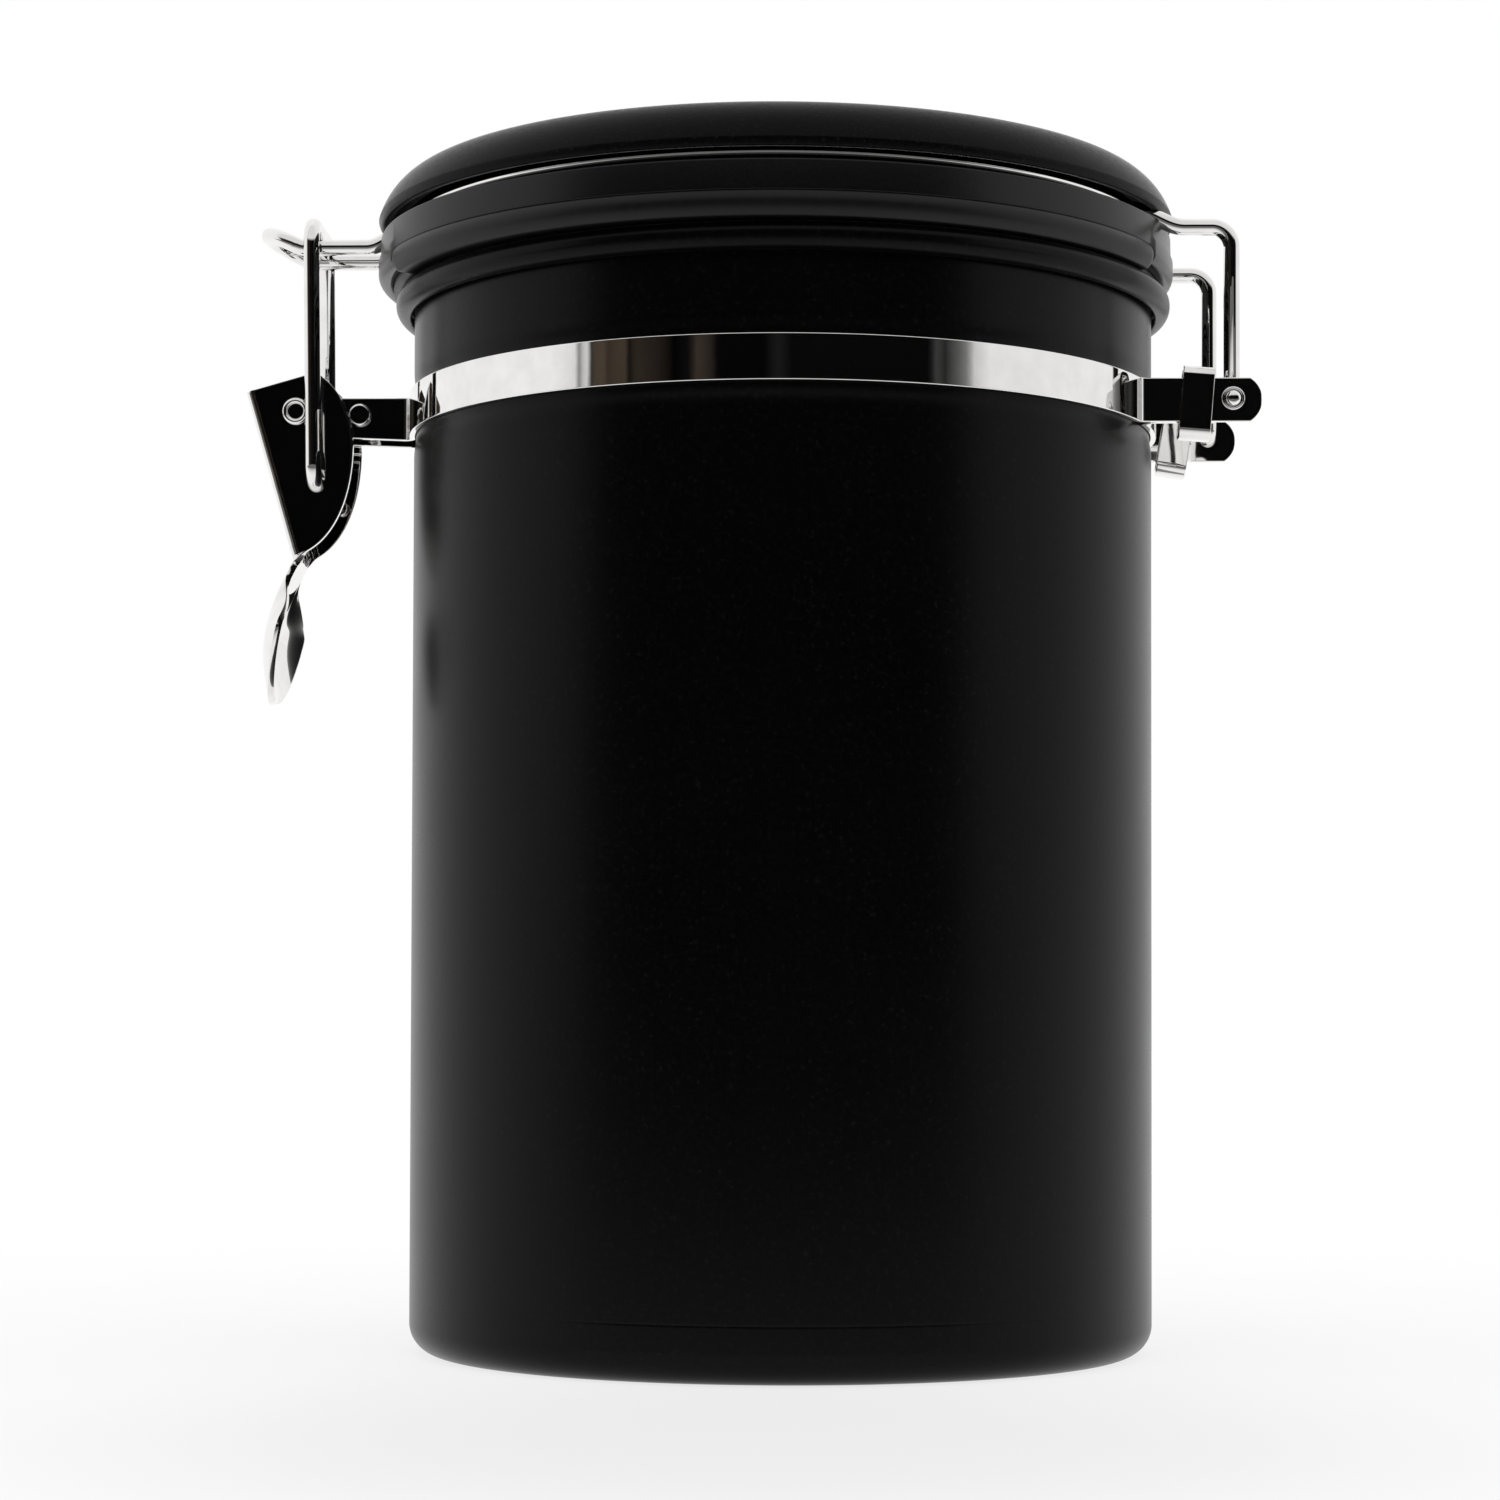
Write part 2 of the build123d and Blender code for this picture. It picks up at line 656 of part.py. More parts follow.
def lid_cover():
    """Domed cover with a rolled lip and a ring inside that presses on the wire."""
    skin = cover_face(0)
    ring_inner = groove_neck + press_ring_gap
    ring_low = wire_z + wire_radius + side_clearance
    press = box_profile(ring_inner, ring_inner + press_ring_width, lip_bottom, shoulder_top)
    section = skin - cover_face(cover_thickness) + (press & skin)
    section += box_profile(ring_inner, ring_inner + press_ring_width, ring_low, lip_bottom)
    bore = Pos(0, 0, cover_top) * Cylinder(valve_radius + run_clearance, 2 * cover_thickness + overrun)
    return LID * (spin(section) - bore)


# Vent valve

def valve_body():
    """Barrel from the liner to the cover, with a ported seat and a ledge for the filter."""
    barrel = box_profile(valve_bore, valve_radius, valve_bottom, cover_top)
    flange = box_profile(valve_bore, valve_radius + valve_flange_reach, valve_bottom, liner_bottom)
    ledge = box_profile(valve_bore - filter_ledge, valve_radius, valve_bottom,
                        valve_bottom + filter_ledge_height)
    seat = box_profile(0, valve_radius, seat_bottom, seat_bottom + valve_seat_thickness)
    body = spin(barrel + flange + ledge + seat)
    rim = body.edges().filter_by(GeomType.CIRCLE).filter_by(
        lambda edge: abs(edge.radius - valve_radius - valve_flange_reach) < run_clearance)
    body = fillet(rim.sort_by(Axis.Z)[0], valve_flange_round)
    port = Cylinder(valve_port_radius, 2 * valve_seat_thickness)
    seat_middle = seat_bottom + valve_seat_thickness / 2
    body -= Pos(0, 0, seat_middle) * PolarLocations(valve_port_circle, valve_ports) * port
    return LID * body


def valve_disc():
    """Soft flap that lies on the ports and lifts when gas pushes from below."""
    return LID * spin(box_profile(0, disc_radius, disc_bottom, disc_bottom + disc_thickness))


def valve_retainer():
    """Cage above the flap: a ring pressed into the barrel with a crossed bar."""
    outer = valve_bore - run_clearance
    ring = Circle(outer) - Circle(outer - retainer_rim)
    bar = Rectangle(2 * outer - retainer_rim, retainer_bar)
    cage = ring + bar + Rot(0, 0, 90) * bar
    return LID * extrude(Pos(0, 0, retainer_bottom) * cage, retainer_thickness)


def valve_filter():
    """Filter disc on the ledge at the bottom of the barrel."""
    low = valve_bottom + filter_ledge_height
    return LID * spin(box_profile(0, valve_bore - run_clearance, low, low + filter_thickness))


def valve_cap():
    """Slotted cap on the cover, plugged into the barrel."""
    outer = valve_radius + cap_overhang
    cap = spin(box_profile(0, outer, cover_top, cover_top + cap_thickness))
    cap = fillet(cap.edges().sort_by(Axis.Z)[-1], cap_round)
    plug = valve_bore - run_clearance
    cap += spin(box_profile(plug - cap_plug_wall, plug, cover_top - cap_plug, cover_top))
    slot = Box(cap_slot_length, cap_slot_width, 2 * cap_thickness + overrun)
    cap -= Pos(0, 0, cover_top) * PolarLocations(valve_bore / 2, cap_slots) * slot
    return LID * cap


def all_nodes():
    """Every node of the canister by name."""
    near = half_band()
    clip = ear_clip(clip_lean_near)
    return {
        "body_tube": body_tube(),
        "base_cup": base_cup(),
        "clamp_band_near": near,
        "clamp_band_far": mirror(near, about=Plane.XZ),
        "rear_bridge": rear_bridge(),
        "ear_clip_near": clip,
        "ear_clip_far": mirror(ear_clip(clip_lean_far), about=Plane.XZ),
        "lug_rivet": lug_rivet(),
        "lug_spacer": lug_spacer(),
        "pivot_eyelet": pivot_eyelet(),
        "pivot_spacer": pivot_spacer(),
        "latch_lever": latch_lever(),
        "latch_bail": latch_bail(),
        "ring_wire": ring_wire(),
        "lid_gasket": lid_gasket(),
        "lid_skirt": lid_skirt(),
        "lid_liner": lid_liner(),
        "lid_cover": lid_cover(),
        "valve_body": valve_body(),
        "valve_disc": valve_disc(),
        "valve_retainer": valve_retainer(),
        "valve_filter": valve_filter(),
        "valve_cap": valve_cap(),
    }


os.makedirs("parts", exist_ok=True)
for name, shape in all_nodes().items():
    export_step(shape, f"parts/{name}.step")
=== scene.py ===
# %% [markdown]
# # Coffee canister with a vent valve
# This lesson dresses the measured model of a steel coffee canister for a picture. The CAD
# pieces give every place and size. Here each piece that shows is rebuilt as a smooth surface
# with rounded edges, and each gets the finish of the real part: a satin black coat on the
# canister, a fine textured coat on the lid, and polished steel on the band, lever and wires.

import math

import bmesh
import bpy
import numpy as np
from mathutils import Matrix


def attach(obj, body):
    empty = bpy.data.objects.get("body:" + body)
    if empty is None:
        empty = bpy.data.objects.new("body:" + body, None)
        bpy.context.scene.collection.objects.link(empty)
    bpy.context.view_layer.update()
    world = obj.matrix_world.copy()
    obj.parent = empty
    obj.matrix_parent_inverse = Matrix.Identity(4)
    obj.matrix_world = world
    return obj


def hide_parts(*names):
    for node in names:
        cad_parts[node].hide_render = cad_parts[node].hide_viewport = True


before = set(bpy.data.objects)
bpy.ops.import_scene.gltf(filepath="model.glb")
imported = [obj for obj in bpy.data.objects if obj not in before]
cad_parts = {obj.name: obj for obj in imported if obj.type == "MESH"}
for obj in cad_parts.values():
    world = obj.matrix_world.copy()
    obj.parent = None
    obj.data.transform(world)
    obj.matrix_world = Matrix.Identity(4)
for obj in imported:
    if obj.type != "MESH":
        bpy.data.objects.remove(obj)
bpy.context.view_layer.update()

# %% [markdown]
# ## Numbers in millimetres
# Blender works in metres, while the drawing of a canister is in millimetres. All shapes
# below are in millimetres, and one factor turns them to metres when a mesh is made.

# %% Main places
MM = 0.001
LID_SHIFT = np.array([-1.2, 0.0, 0.0])
PIVOT = np.array([-79.4, 0.0, 153.0])
RIVET = np.array([-69.0, 0.0, 152.5])
HINGE = np.array([71.6, 0.0, 152.1])
print("pivot", PIVOT, "hinge", HINGE)

# %% [markdown]
# ## From a grid of points to a mesh
# Turned, bent and folded sheet parts can all be written as a function of two parameters. Its
# points then lie on a grid, and four neighbours make one face. The whole grid is handed to
# Blender as arrays. A grid that closes on itself has doubled points on its seam and at its
# poles, so points that coincide are merged, and the normals are worked out again afterwards.


# %% Grid mesh
def stacked(*columns):
    """Columns of numbers side by side: the last axis counts the columns."""
    return np.stack(columns, axis=-1)


def grid_faces(rows, columns):
    """Corner numbers of each face: a point, its right, upper right and upper neighbour."""
    corner = np.arange(rows * columns).reshape(rows, columns)
    low, high = corner[:-1], corner[1:]
    return stacked(low[:, :-1], low[:, 1:], high[:, 1:], high[:, :-1]).reshape(-1, 4)


def add_surface(name, points, closed=True):
    """Mesh object from a (rows, columns, 3) grid in mm; UV is the place on the grid, 0 to 1."""
    rows, columns = points.shape[:2]
    mesh = bpy.data.meshes.new(name)
    faces = grid_faces(rows, columns)
    mesh.from_pydata((points.reshape(-1, 3) * MM).tolist(), [], faces.tolist())
    u, v = np.meshgrid(np.linspace(0, 1, columns), np.linspace(0, 1, rows))
    spread = stacked(u.ravel(), v.ravel())[faces.ravel()]
    layer = mesh.uv_layers.new(name="UVMap")
    layer.data.foreach_set("uv", spread.ravel().astype(np.float32))
    work = bmesh.new()
    work.from_mesh(mesh)
    bmesh.ops.remove_doubles(work, verts=work.verts, dist=2e-6)
    if closed:
        bmesh.ops.recalc_face_normals(work, faces=work.faces)
    work.to_mesh(mesh)
    work.free()
    mesh.polygons.foreach_set("use_smooth", np.ones(len(mesh.polygons), dtype=bool))
    piece = bpy.data.objects.new(name, mesh)
    bpy.context.scene.collection.objects.link(piece)
    return piece


print("a grid of 3 by 3 points has", len(grid_faces(3, 3)), "faces")

# %% [markdown]
# ## Handing a piece over
# A finished piece needs a finish, the body that it moves with, and the CAD nodes that it
# stands for.


# %% Settling a piece
def settle(piece, body, nodes, finish):
    """Give a finished piece its finish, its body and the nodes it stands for."""
    piece.data.materials.clear()
    piece.data.materials.append(finish)
    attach(piece, body)
    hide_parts(*nodes)
    box = np.array(piece.bound_box) / MM
    print(piece.name, "faces:", len(piece.data.polygons), "from", box.min(0).round(2), "to",
          box.max(0).round(2))


print("nodes to stand for or to keep:", len(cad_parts))

# %% [markdown]
# ## Drawing an outline
# A press tool's outline is straight runs and round bends. A small walker draws it the way a
# wire bender works: go so far, turn so much on such a radius. It returns points close enough
# together for smooth reflections.


# %% Outline walker
def walk(start, heading, moves, step=4.0):
    """Points of a path in a plane, from its start and heading in degrees.

    A move is (length, 0) for a straight run, or (radius, turn) for a bend whose centre lies
    one radius to the left (turn above 0) or right; each bend point is centre + radius * the
    turned arm.
    """
    place, angle = np.array(start, float), math.radians(heading)
    found = [place[None]]
    for size, turn in moves:
        if turn == 0:
            place = place + size * np.array([math.cos(angle), math.sin(angle)])
            found.append(place[None])
            continue
        side = math.copysign(1, turn)
        centre = place + side * size * np.array([-math.sin(angle), math.cos(angle)])
        sweep = np.radians(np.linspace(0, turn, max(3, int(abs(turn) / step) + 2)))[1:]
        arm = np.arctan2(*(place - centre)[::-1]) + sweep
        arc = centre + size * stacked(np.cos(arm), np.sin(arm))
        found.append(arc)
        place, angle = arc[-1], angle + math.radians(turn)
    return np.concatenate(found)


def bend(centre, radius, start, stop, count=24):
    """Arc about a centre from one angle to another, in degrees."""
    angle = np.radians(np.linspace(start, stop, count))
    return np.array(centre) + radius * stacked(np.cos(angle), np.sin(angle))


def joined(*parts):
    """One path from several, without points that repeat."""
    path = np.concatenate(parts)
    apart = np.linalg.norm(np.diff(path, axis=0), axis=1) > 1e-4
    return path[np.concatenate([[True], apart])]


def tangents(path):
    """Direction at each point of a path: its gradient divided by its own length."""
    along = np.gradient(path, axis=0)
    return along / np.linalg.norm(along, axis=1)[:, None]


def ease(share):
    """S-shaped step from 0 to 1: share^2 (3 - 2 share)."""
    return share * share * (3 - 2 * share)


print("walk test:", walk((0, 0), 0, [(10, 0), (5, 90)])[-1])

# %% [markdown]
# ## Rounded corners
# A drawing often gives the corners of a shape and a radius for each. The arc that replaces a
# corner touches both arms at the same distance from the corner. One point more on each
# straight side, close to the arc, keeps the shading of the straight side from bending.


# %% Rounded corners
def corners_rounded(corners, radii, closed=False, count=9, hold=0.06):
    """A run of corners in 2 or 3 dimensions with each corner replaced by its tangent arc.

    The arc's centre lies on the corner's bisector at radius / sin(half angle), and the
    points run from one tangent point to the other by the blend of the two arms. Where there
    is room, the further points lie `hold` mm before and after the arc.
    """
    corners = np.asarray(corners, float)
    found = []
    for index, radius in enumerate(radii):
        before, corner = corners[index - 1], corners[index]
        after = corners[(index + 1) % len(corners)]
        ends = not closed and index in (0, len(corners) - 1)
        if radius == 0 or ends:
            found.append(corner[None])
            continue
        long_back, long_ahead = np.linalg.norm(before - corner), np.linalg.norm(after - corner)
        back, ahead = (before - corner) / long_back, (after - corner) / long_ahead
        half = math.acos(np.clip(back @ ahead, -1, 1)) / 2
        reach = radius / math.tan(half)
        middle = (back + ahead) / np.linalg.norm(back + ahead)
        centre = corner + middle * radius / math.sin(half)
        first, last = corner + back * reach - centre, corner + ahead * reach - centre
        whole = math.pi - 2 * half
        share = np.linspace(0, 1, count)[:, None]
        arc = (np.sin((1 - share) * whole) * first + np.sin(share * whole) * last) / math.sin(whole)
        found.append(centre + arc)
        further = reach + hold
        if hold and further < long_back / 2:
            found.insert(-1, (corner + back * further)[None])
        if hold and further < long_ahead / 2:
            found.append((corner + ahead * further)[None])
    path = np.concatenate(found)
    return np.concatenate([path, path[:1]]) if closed else path


print("rounded corner:", len(corners_rounded([(0, 0), (9, 0), (9, 9)], [0, 1, 0])), "points")

# %% [markdown]
# ## Sheet walls and turned parts
# A drawn or spun part is one profile turned about its axis. Its wall is the middle line of
# the sheet pushed out by half the thickness to both sides, with a half round cut edge at each
# end, because a sharp edge would never catch the light.


# %% Walls and turning
def wall_of(path, thickness, count=7):
    """Closed outline of a sheet: path + and - half the thickness along its normal.

    The half round ends go from one side to the other about the path's end points.
    """
    along = tangents(path)
    normal = stacked(-along[:, 1], along[:, 0])
    half = thickness / 2
    turn = np.linspace(0, math.pi, count)[1:-1, None]
    nose = path[-1] + half * (np.cos(turn) * normal[-1] + np.sin(turn) * along[-1])
    tail = path[0] - half * (np.cos(turn) * normal[0] + np.sin(turn) * along[0])
    outline = np.concatenate([path + half * normal, nose, (path - half * normal)[::-1], tail])
    return np.concatenate([outline, outline[:1]])


def turned(name, profile, columns=256, shift=(0, 0, 0), axis="z"):
    """Profile (radius r, height h) turned by angle a: (r cos a, r sin a, h) about Z or Y."""
    angle = np.linspace(0, 2 * math.pi, columns + 1)
    radius, height = profile[:, :1], np.repeat(profile[:, 1:], columns + 1, axis=1)
    across, aside = radius * np.cos(angle), radius * np.sin(angle)
    layout = (across, aside, height) if axis == "z" else (across, height, aside)
    return add_surface(name, stacked(*layout) + np.array(shift))


print("wall of a 3 point path:", len(wall_of(np.array([[0, 0], [1, 0], [2, 0.0]]), 0.8)), "points")

# %% [markdown]
# ## Strips
# A band and a clip are a section carried along a path. The section is a rectangle with small
# round edges that may get lower or higher on the way.


# %% Strips
def strip(name, path, normal, across, low, high, thickness, edge=0.16, steps=4):
    """Rounded rectangle carried along a path.

    Point = path + normal * o + across * h, where (o, h) runs round the section: o within
    half the thickness, h from low to high, with quarter circles of radius `edge`. A point
    on each flat, 0.3 radii before its quarter circle, keeps the flat's reflections straight.
    An open strip is closed by drawing its end sections to a line in the middle of the sheet.
    """
    room = np.minimum(edge, np.maximum((high - low) / 2, 1e-3))[:, None]
    turn = np.linspace(0, math.pi / 2, steps + 1)
    on_flat = [-0.3]
    cos_part = np.concatenate([[1.0], np.cos(turn), on_flat])
    sin_part = np.concatenate([on_flat, np.sin(turn), [1.0]])
    sign_o = np.repeat([1, -1, -1, 1], steps + 3)
    sign_h = np.repeat([1, 1, -1, -1], steps + 3)
    cos_part = np.concatenate([cos_part, cos_part[::-1]] * 2)
    sin_part = np.concatenate([sin_part, sin_part[::-1]] * 2)
    out = sign_o * (thickness / 2 - room + room * cos_part)
    middle, half = ((low + high) / 2)[:, None], ((high - low) / 2)[:, None]
    up = middle + sign_h * (half - room + room * sin_part)
    if np.linalg.norm(path[0] - path[-1]) > 1e-3:
        out = np.concatenate([out[:1] * 0, out, out[-1:] * 0])
        up = np.concatenate([up[:1], up, up[-1:]])
        keep = np.concatenate([[0], np.arange(len(path)), [len(path) - 1]])
        path, normal, across = path[keep], normal[keep], across[keep]
    out, up = np.hstack([out, out[:, :1]]), np.hstack([up, up[:, :1]])
    return add_surface(name, path[:, None] + normal[:, None] * out[..., None]
                       + across[:, None] * up[..., None])


print("strip helper ready")

# %% [markdown]
# ## Wires
# A wire is a circle carried along a path. It only needs a side direction that is never
# parallel to the wire, so no frame has to be passed on from point to point.


# %% Wires
def wire(name, path, side, radius, columns=24, end_round=0.35):
    """Circle of one radius carried along a path: path + radius * (cos a * n + sin a * b).

    n is `side` without its part along the wire, b is the wire's direction crossed with n.
    The cut ends are rounded by two smaller rings and closed by a ring of radius 0.
    """
    along = tangents(path)
    first = side - (side * along).sum(1)[:, None] * along
    first /= np.linalg.norm(first, axis=1)[:, None]
    second = np.cross(along, first)
    inset = end_round * np.array([0, 0, 0.3, 1.0])
    size = np.array([0, radius - end_round, radius - 0.3 * end_round, radius])
    keep = np.concatenate([[0] * 4, np.arange(1, len(path) - 1), [len(path) - 1] * 4])
    move = np.concatenate([inset, np.zeros(len(path) - 2), -inset[::-1]])[:, None]
    reach = np.concatenate([size, np.full(len(path) - 2, radius), size[::-1]])[:, None, None]
    centre = (path[keep] + along[keep] * move)[:, None]
    angle = np.linspace(0, 2 * math.pi, columns + 1)[:, None]
    ring = np.cos(angle) * first[keep][:, None] + np.sin(angle) * second[keep][:, None]
    return add_surface(name, centre + reach * ring)


print("wire helper ready")

# %% [markdown]
# ## Colours and shader nodes
# A paint chart gives sRGB colours, but a shader works with linear light, so one function
# does the change. A second small function adds any node with its settings and its links, and
# every finish below is written with these two.


# %% Colour and node helpers
def linear(code):
    """sRGB hex text to linear light: ((c + 0.055) / 1.055) ** 2.4, or c / 12.92 when dark."""
    values = np.array([int(code[i:i + 2], 16) for i in (1, 3, 5)]) / 255
    light = np.where(values <= 0.04045, values / 12.92, ((values + 0.055) / 1.055) ** 2.4)
    return [*light.tolist(), 1.0]


def add_node(tree, kind, inputs=None, **settings):
    """Add a node, set its properties, and fill its inputs with values or linked sockets."""
    node = tree.nodes.new(kind)
    for key, value in settings.items():
        setattr(node, key, value)
    for key, value in (inputs or {}).items():
        if isinstance(value, bpy.types.NodeSocket):
            tree.links.new(value, node.inputs[key])
        else:
            node.inputs[key].default_value = value
    return node


def finish_named(name):
    """New material: itself, its node tree, its output node and the object coordinates."""
    made = bpy.data.materials.new(name)
    made.use_nodes = True
    tree = made.node_tree
    tree.nodes.clear()
    output = add_node(tree, "ShaderNodeOutputMaterial")
    return made, tree, output, add_node(tree, "ShaderNodeTexCoord").outputs["Object"]


print("middle grey in linear light:", linear("#808080")[0])

# %% [markdown]
# ## The layers of a finish
# Every finish has the same layers: a noise, the roughness, tones and relief made from it,
# and the shader that takes them all.


# %% Layers of a finish
def noise(tree, place, size_mm, **more):
    """Noise value from 0 to 1 whose waves are about size_mm apart."""
    return add_node(tree, "ShaderNodeTexNoise", {"Vector": place, "Scale": 1 / (size_mm * MM),
                                                 **more}).outputs["Fac"]


def between(tree, value, low, high, start=0.0, stop=1.0, **settings):
    """low where the value is start, high where it is stop, on a straight line between."""
    inputs = {"Value": value, "From Min": start, "From Max": stop, "To Min": low, "To Max": high}
    return add_node(tree, "ShaderNodeMapRange", inputs, **settings).outputs["Result"]


def toned(tree, value, stops):
    """Colour ramp over a value, from (place, grey or hex colour) pairs."""
    node = add_node(tree, "ShaderNodeValToRGB", {"Fac": value})
    ramp = node.color_ramp
    while len(ramp.elements) < len(stops):
        ramp.elements.new(1.0)
    for element, (place, tone) in zip(ramp.elements, stops):
        element.position = place
        element.color = linear(tone) if isinstance(tone, str) else (tone, tone, tone, 1.0)
    return node.outputs["Color"]


def relief(tree, height, strength, depth_mm):
    """Bump normal from a height value whose full range is depth_mm deep."""
    return add_node(tree, "ShaderNodeBump", {"Height": height, "Strength": strength,
                                             "Distance": depth_mm * MM}).outputs["Normal"]


def principled(tree, output, inputs):
    """Principled shader with these inputs, linked to the material's output."""
    shader = add_node(tree, "ShaderNodeBsdfPrincipled", inputs)
    tree.links.new(shader.outputs["BSDF"], output.inputs["Surface"])


print("layer helpers ready")

# %% [markdown]
# ## Satin black coat
# The canister wall is steel with a satin black powder coat. It is nearly black where it
# faces us and mirrors the white walls only at a shallow angle, so it needs a low IOR rather
# than a grey colour. Its roughness blurs every edge that it mirrors. A weak bump stands for
# the grain of the cured powder, whose waves are less than a millimetre apart.


# %% Satin coat
def satin_coat():
    """Grain of 0.7 mm gives tone and bump, and clouds of 22 mm vary the gloss."""
    made, tree, output, place = finish_named("satin black powder coat on steel")
    grain = noise(tree, place, 0.7, Detail=2.0)
    cloud = noise(tree, place, 22, Detail=3.0)
    tone = toned(tree, grain, [(0.35, "#000000"), (0.62, "#020203"), (0.74, "#0a0a0b")])
    principled(tree, output, {
        "Base Color": tone, "Roughness": between(tree, cloud, 0.24, 0.32), "IOR": 1.2,
        "Sheen Weight": 0.04, "Sheen Roughness": 0.25, "Normal": relief(tree, grain, 0.1, 0.05)})
    return made


SATIN = satin_coat()
print(SATIN.name)

# %% [markdown]
# ## Fine textured coat
# The lid has a fine structure coat: a powder that cures to grains of about half a
# millimetre. It spreads the light, so the lid looks softer and greyer than the wall, with a
# pale sheen where it curves out of sight. Noise makes the grain, and a pattern of cells
# 0.8 mm wide makes some grains glossier than others.


# %% Textured coat
def textured_coat():
    """Grain of 0.55 mm gives tone and bump, and cells of 0.8 mm vary the gloss."""
    made, tree, output, place = finish_named("fine textured black powder coat")
    grain = noise(tree, place, 0.55, Detail=2.0, Roughness=0.6)
    speck = add_node(tree, "ShaderNodeTexVoronoi", {"Vector": place, "Scale": 1 / (0.8 * MM)})
    tone = toned(tree, grain, [(0.35, "#020202"), (0.62, "#050506"), (0.74, "#141416")])
    principled(tree, output, {
        "Base Color": tone, "Roughness": between(tree, speck.outputs["Distance"], 0.26, 0.38),
        "IOR": 1.17, "Sheen Weight": 0.45, "Sheen Roughness": 0.15,
        "Normal": relief(tree, grain, 0.3, 0.08)})
    return made


COAT = textured_coat()
print(COAT.name)

# %% [markdown]
# ## Polished stainless steel
# Band, lever, clips and wires are stainless steel, pressed or drawn and then barrel
# polished. Polishing leaves a faint waviness and a thin haze, so the mirror is not quite
# sharp: a low roughness that varies a little, and a weak bump, break up the reflections.


# %% Polished steel
def polished_steel():
    """Waves of 3.5 mm give tone and bump, and haze of 0.7 mm varies the gloss."""
    made, tree, output, place = finish_named("barrel polished stainless steel")
    wave = noise(tree, place, 3.5, Detail=2.0)
    haze = noise(tree, place, 0.7, Detail=3.0)
    principled(tree, output, {
        "Base Color": toned(tree, wave, [(0.3, "#e9e8e6"), (0.7, "#f2f1f0")]), "Metallic": 1.0,
        "Roughness": between(tree, haze, 0.015, 0.05), "Normal": relief(tree, wave, 0.05, 0.1)})
    return made


STEEL = polished_steel()
print(STEEL.name)

# %% [markdown]
# ## Plastics, rubber and felt
# The skirt, tray and valve are moulded from black nylon or polypropylene whose mould was
# spark eroded, which leaves a fine matt grain. The seal and the valve's flap are silicone,
# and the filter is felt. They differ in a few numbers only, so one function makes them all.


# %% Moulded finishes
def moulded(name, dark, pale, grain_mm, rough_low, rough_high, ior, strength):
    """Opaque moulded finish: one grain noise gives tone, roughness and bump."""
    made, tree, output, place = finish_named(name)
    grain = noise(tree, place, grain_mm, Detail=3.0)
    principled(tree, output, {
        "Base Color": toned(tree, grain, [(0.32, dark), (0.7, pale)]),
        "Roughness": between(tree, grain, rough_low, rough_high), "IOR": ior,
        "Normal": relief(tree, grain, strength, 0.06)})
    return made


NYLON = moulded("spark grained black nylon", "#010101", "#040405", 0.4, 0.26, 0.34, 1.36, 0.2)
SILICONE = moulded("black silicone rubber", "#030303", "#060607", 1.2, 0.34, 0.44, 1.34, 0.12)
TRAY_PLASTIC = moulded("satin black polypropylene", "#101011", "#18181a", 0.8, 0.34, 0.46, 1.45,
                       0.2)
CLEAR_SILICONE = moulded("milky silicone rubber", "#c9c8c2", "#dad9d3", 1.5, 0.4, 0.5, 1.41, 0.1)
FELT = moulded("pressed white felt", "#cfccc2", "#f0eee8", 0.3, 0.85, 1.0, 1.5, 0.9)
print("moulded finishes ready")

# %% [markdown]
# ## Canister wall
# The wall is a drawn steel tube of 0.8 mm sheet. A shallow seat keeps the band in place, and
# the rim is curled outwards so the seal lies on a round edge. Spinning one profile is just
# how it is made on the machine, so a turned surface gives the right highlights at once.

# %% Wall and base
TUBE_SHEET = 0.8
HALF_SHEET = TUBE_SHEET / 2
SEAT_OUT, SEAT_IN = (10.875, 9.5273), (10.875, -9.5273)
wall_path = walk((59.8, 9.0), 90, [
    (0.4, 0), (135.4, 0), SEAT_OUT, SEAT_IN, (7.0, 0), SEAT_IN, SEAT_OUT, (11.0, 0),
    (1.5, -180), (0.3, 0), (1.7, -88)], step=2.0)
tube_wall = turned("canister_wall", wall_of(wall_path, TUBE_SHEET))
settle(tube_wall, "canister", ["body_tube"], SATIN)

BEAD_UP, BEAD_DOWN = (2.353, 35.49), (2.353, -35.49)
cup_path = joined(
    walk((0.0, HALF_SHEET), 0, [(44.0, 0), BEAD_UP, BEAD_DOWN, BEAD_DOWN, BEAD_UP]),
    walk((54.4, HALF_SHEET), 0, [(0.8, 0), (4.6, 90), (3.6, 0), (0.4, 0)], step=2.0))
cup = turned("pressed_base", wall_of(cup_path, TUBE_SHEET))
settle(cup, "canister", ["base_cup"], SATIN)
print("rim top mm:", wall_path[:, 1].max() + HALF_SHEET)

# %% [markdown]
# ## Clamp band
# Two half bands of 1 mm steel grip the canister. In front they turn outwards into two lugs
# for the latch, and behind into two ears for the hinge. Seen from the side the lug ends in
# a half circle and the ear in a flat arc, so the strip's lower and upper edge are a function
# of the distance from the canister.


# %% Band edges
BAND_SHEET, BAND_RADIUS = 1.0, 60.5
BAND_LOW, BAND_HIGH, BAND_MIDDLE = 148.4, 155.4, 151.9
LUG_START, LUG_TIP, LUG_HALF, LUG_MIDDLE = -62.6, -82.55, 3.15, 152.25
EAR_START, EAR_TIP, EAR_HALF, EAR_SAG = 70.0, 76.2, 3.5, 1.9


def heading_of(place):
    """Angle of a point of the plan about the origin, in degrees."""
    return math.degrees(math.atan2(place[1], place[0]))


def leave(radius, line_y, fold, side):
    """Centre of the fold from a circle about the origin to a line along X, and its angles."""
    centre = np.array([side * math.sqrt((radius + fold)**2 - (line_y + fold)**2), -line_y - fold])
    return centre, heading_of(-centre)


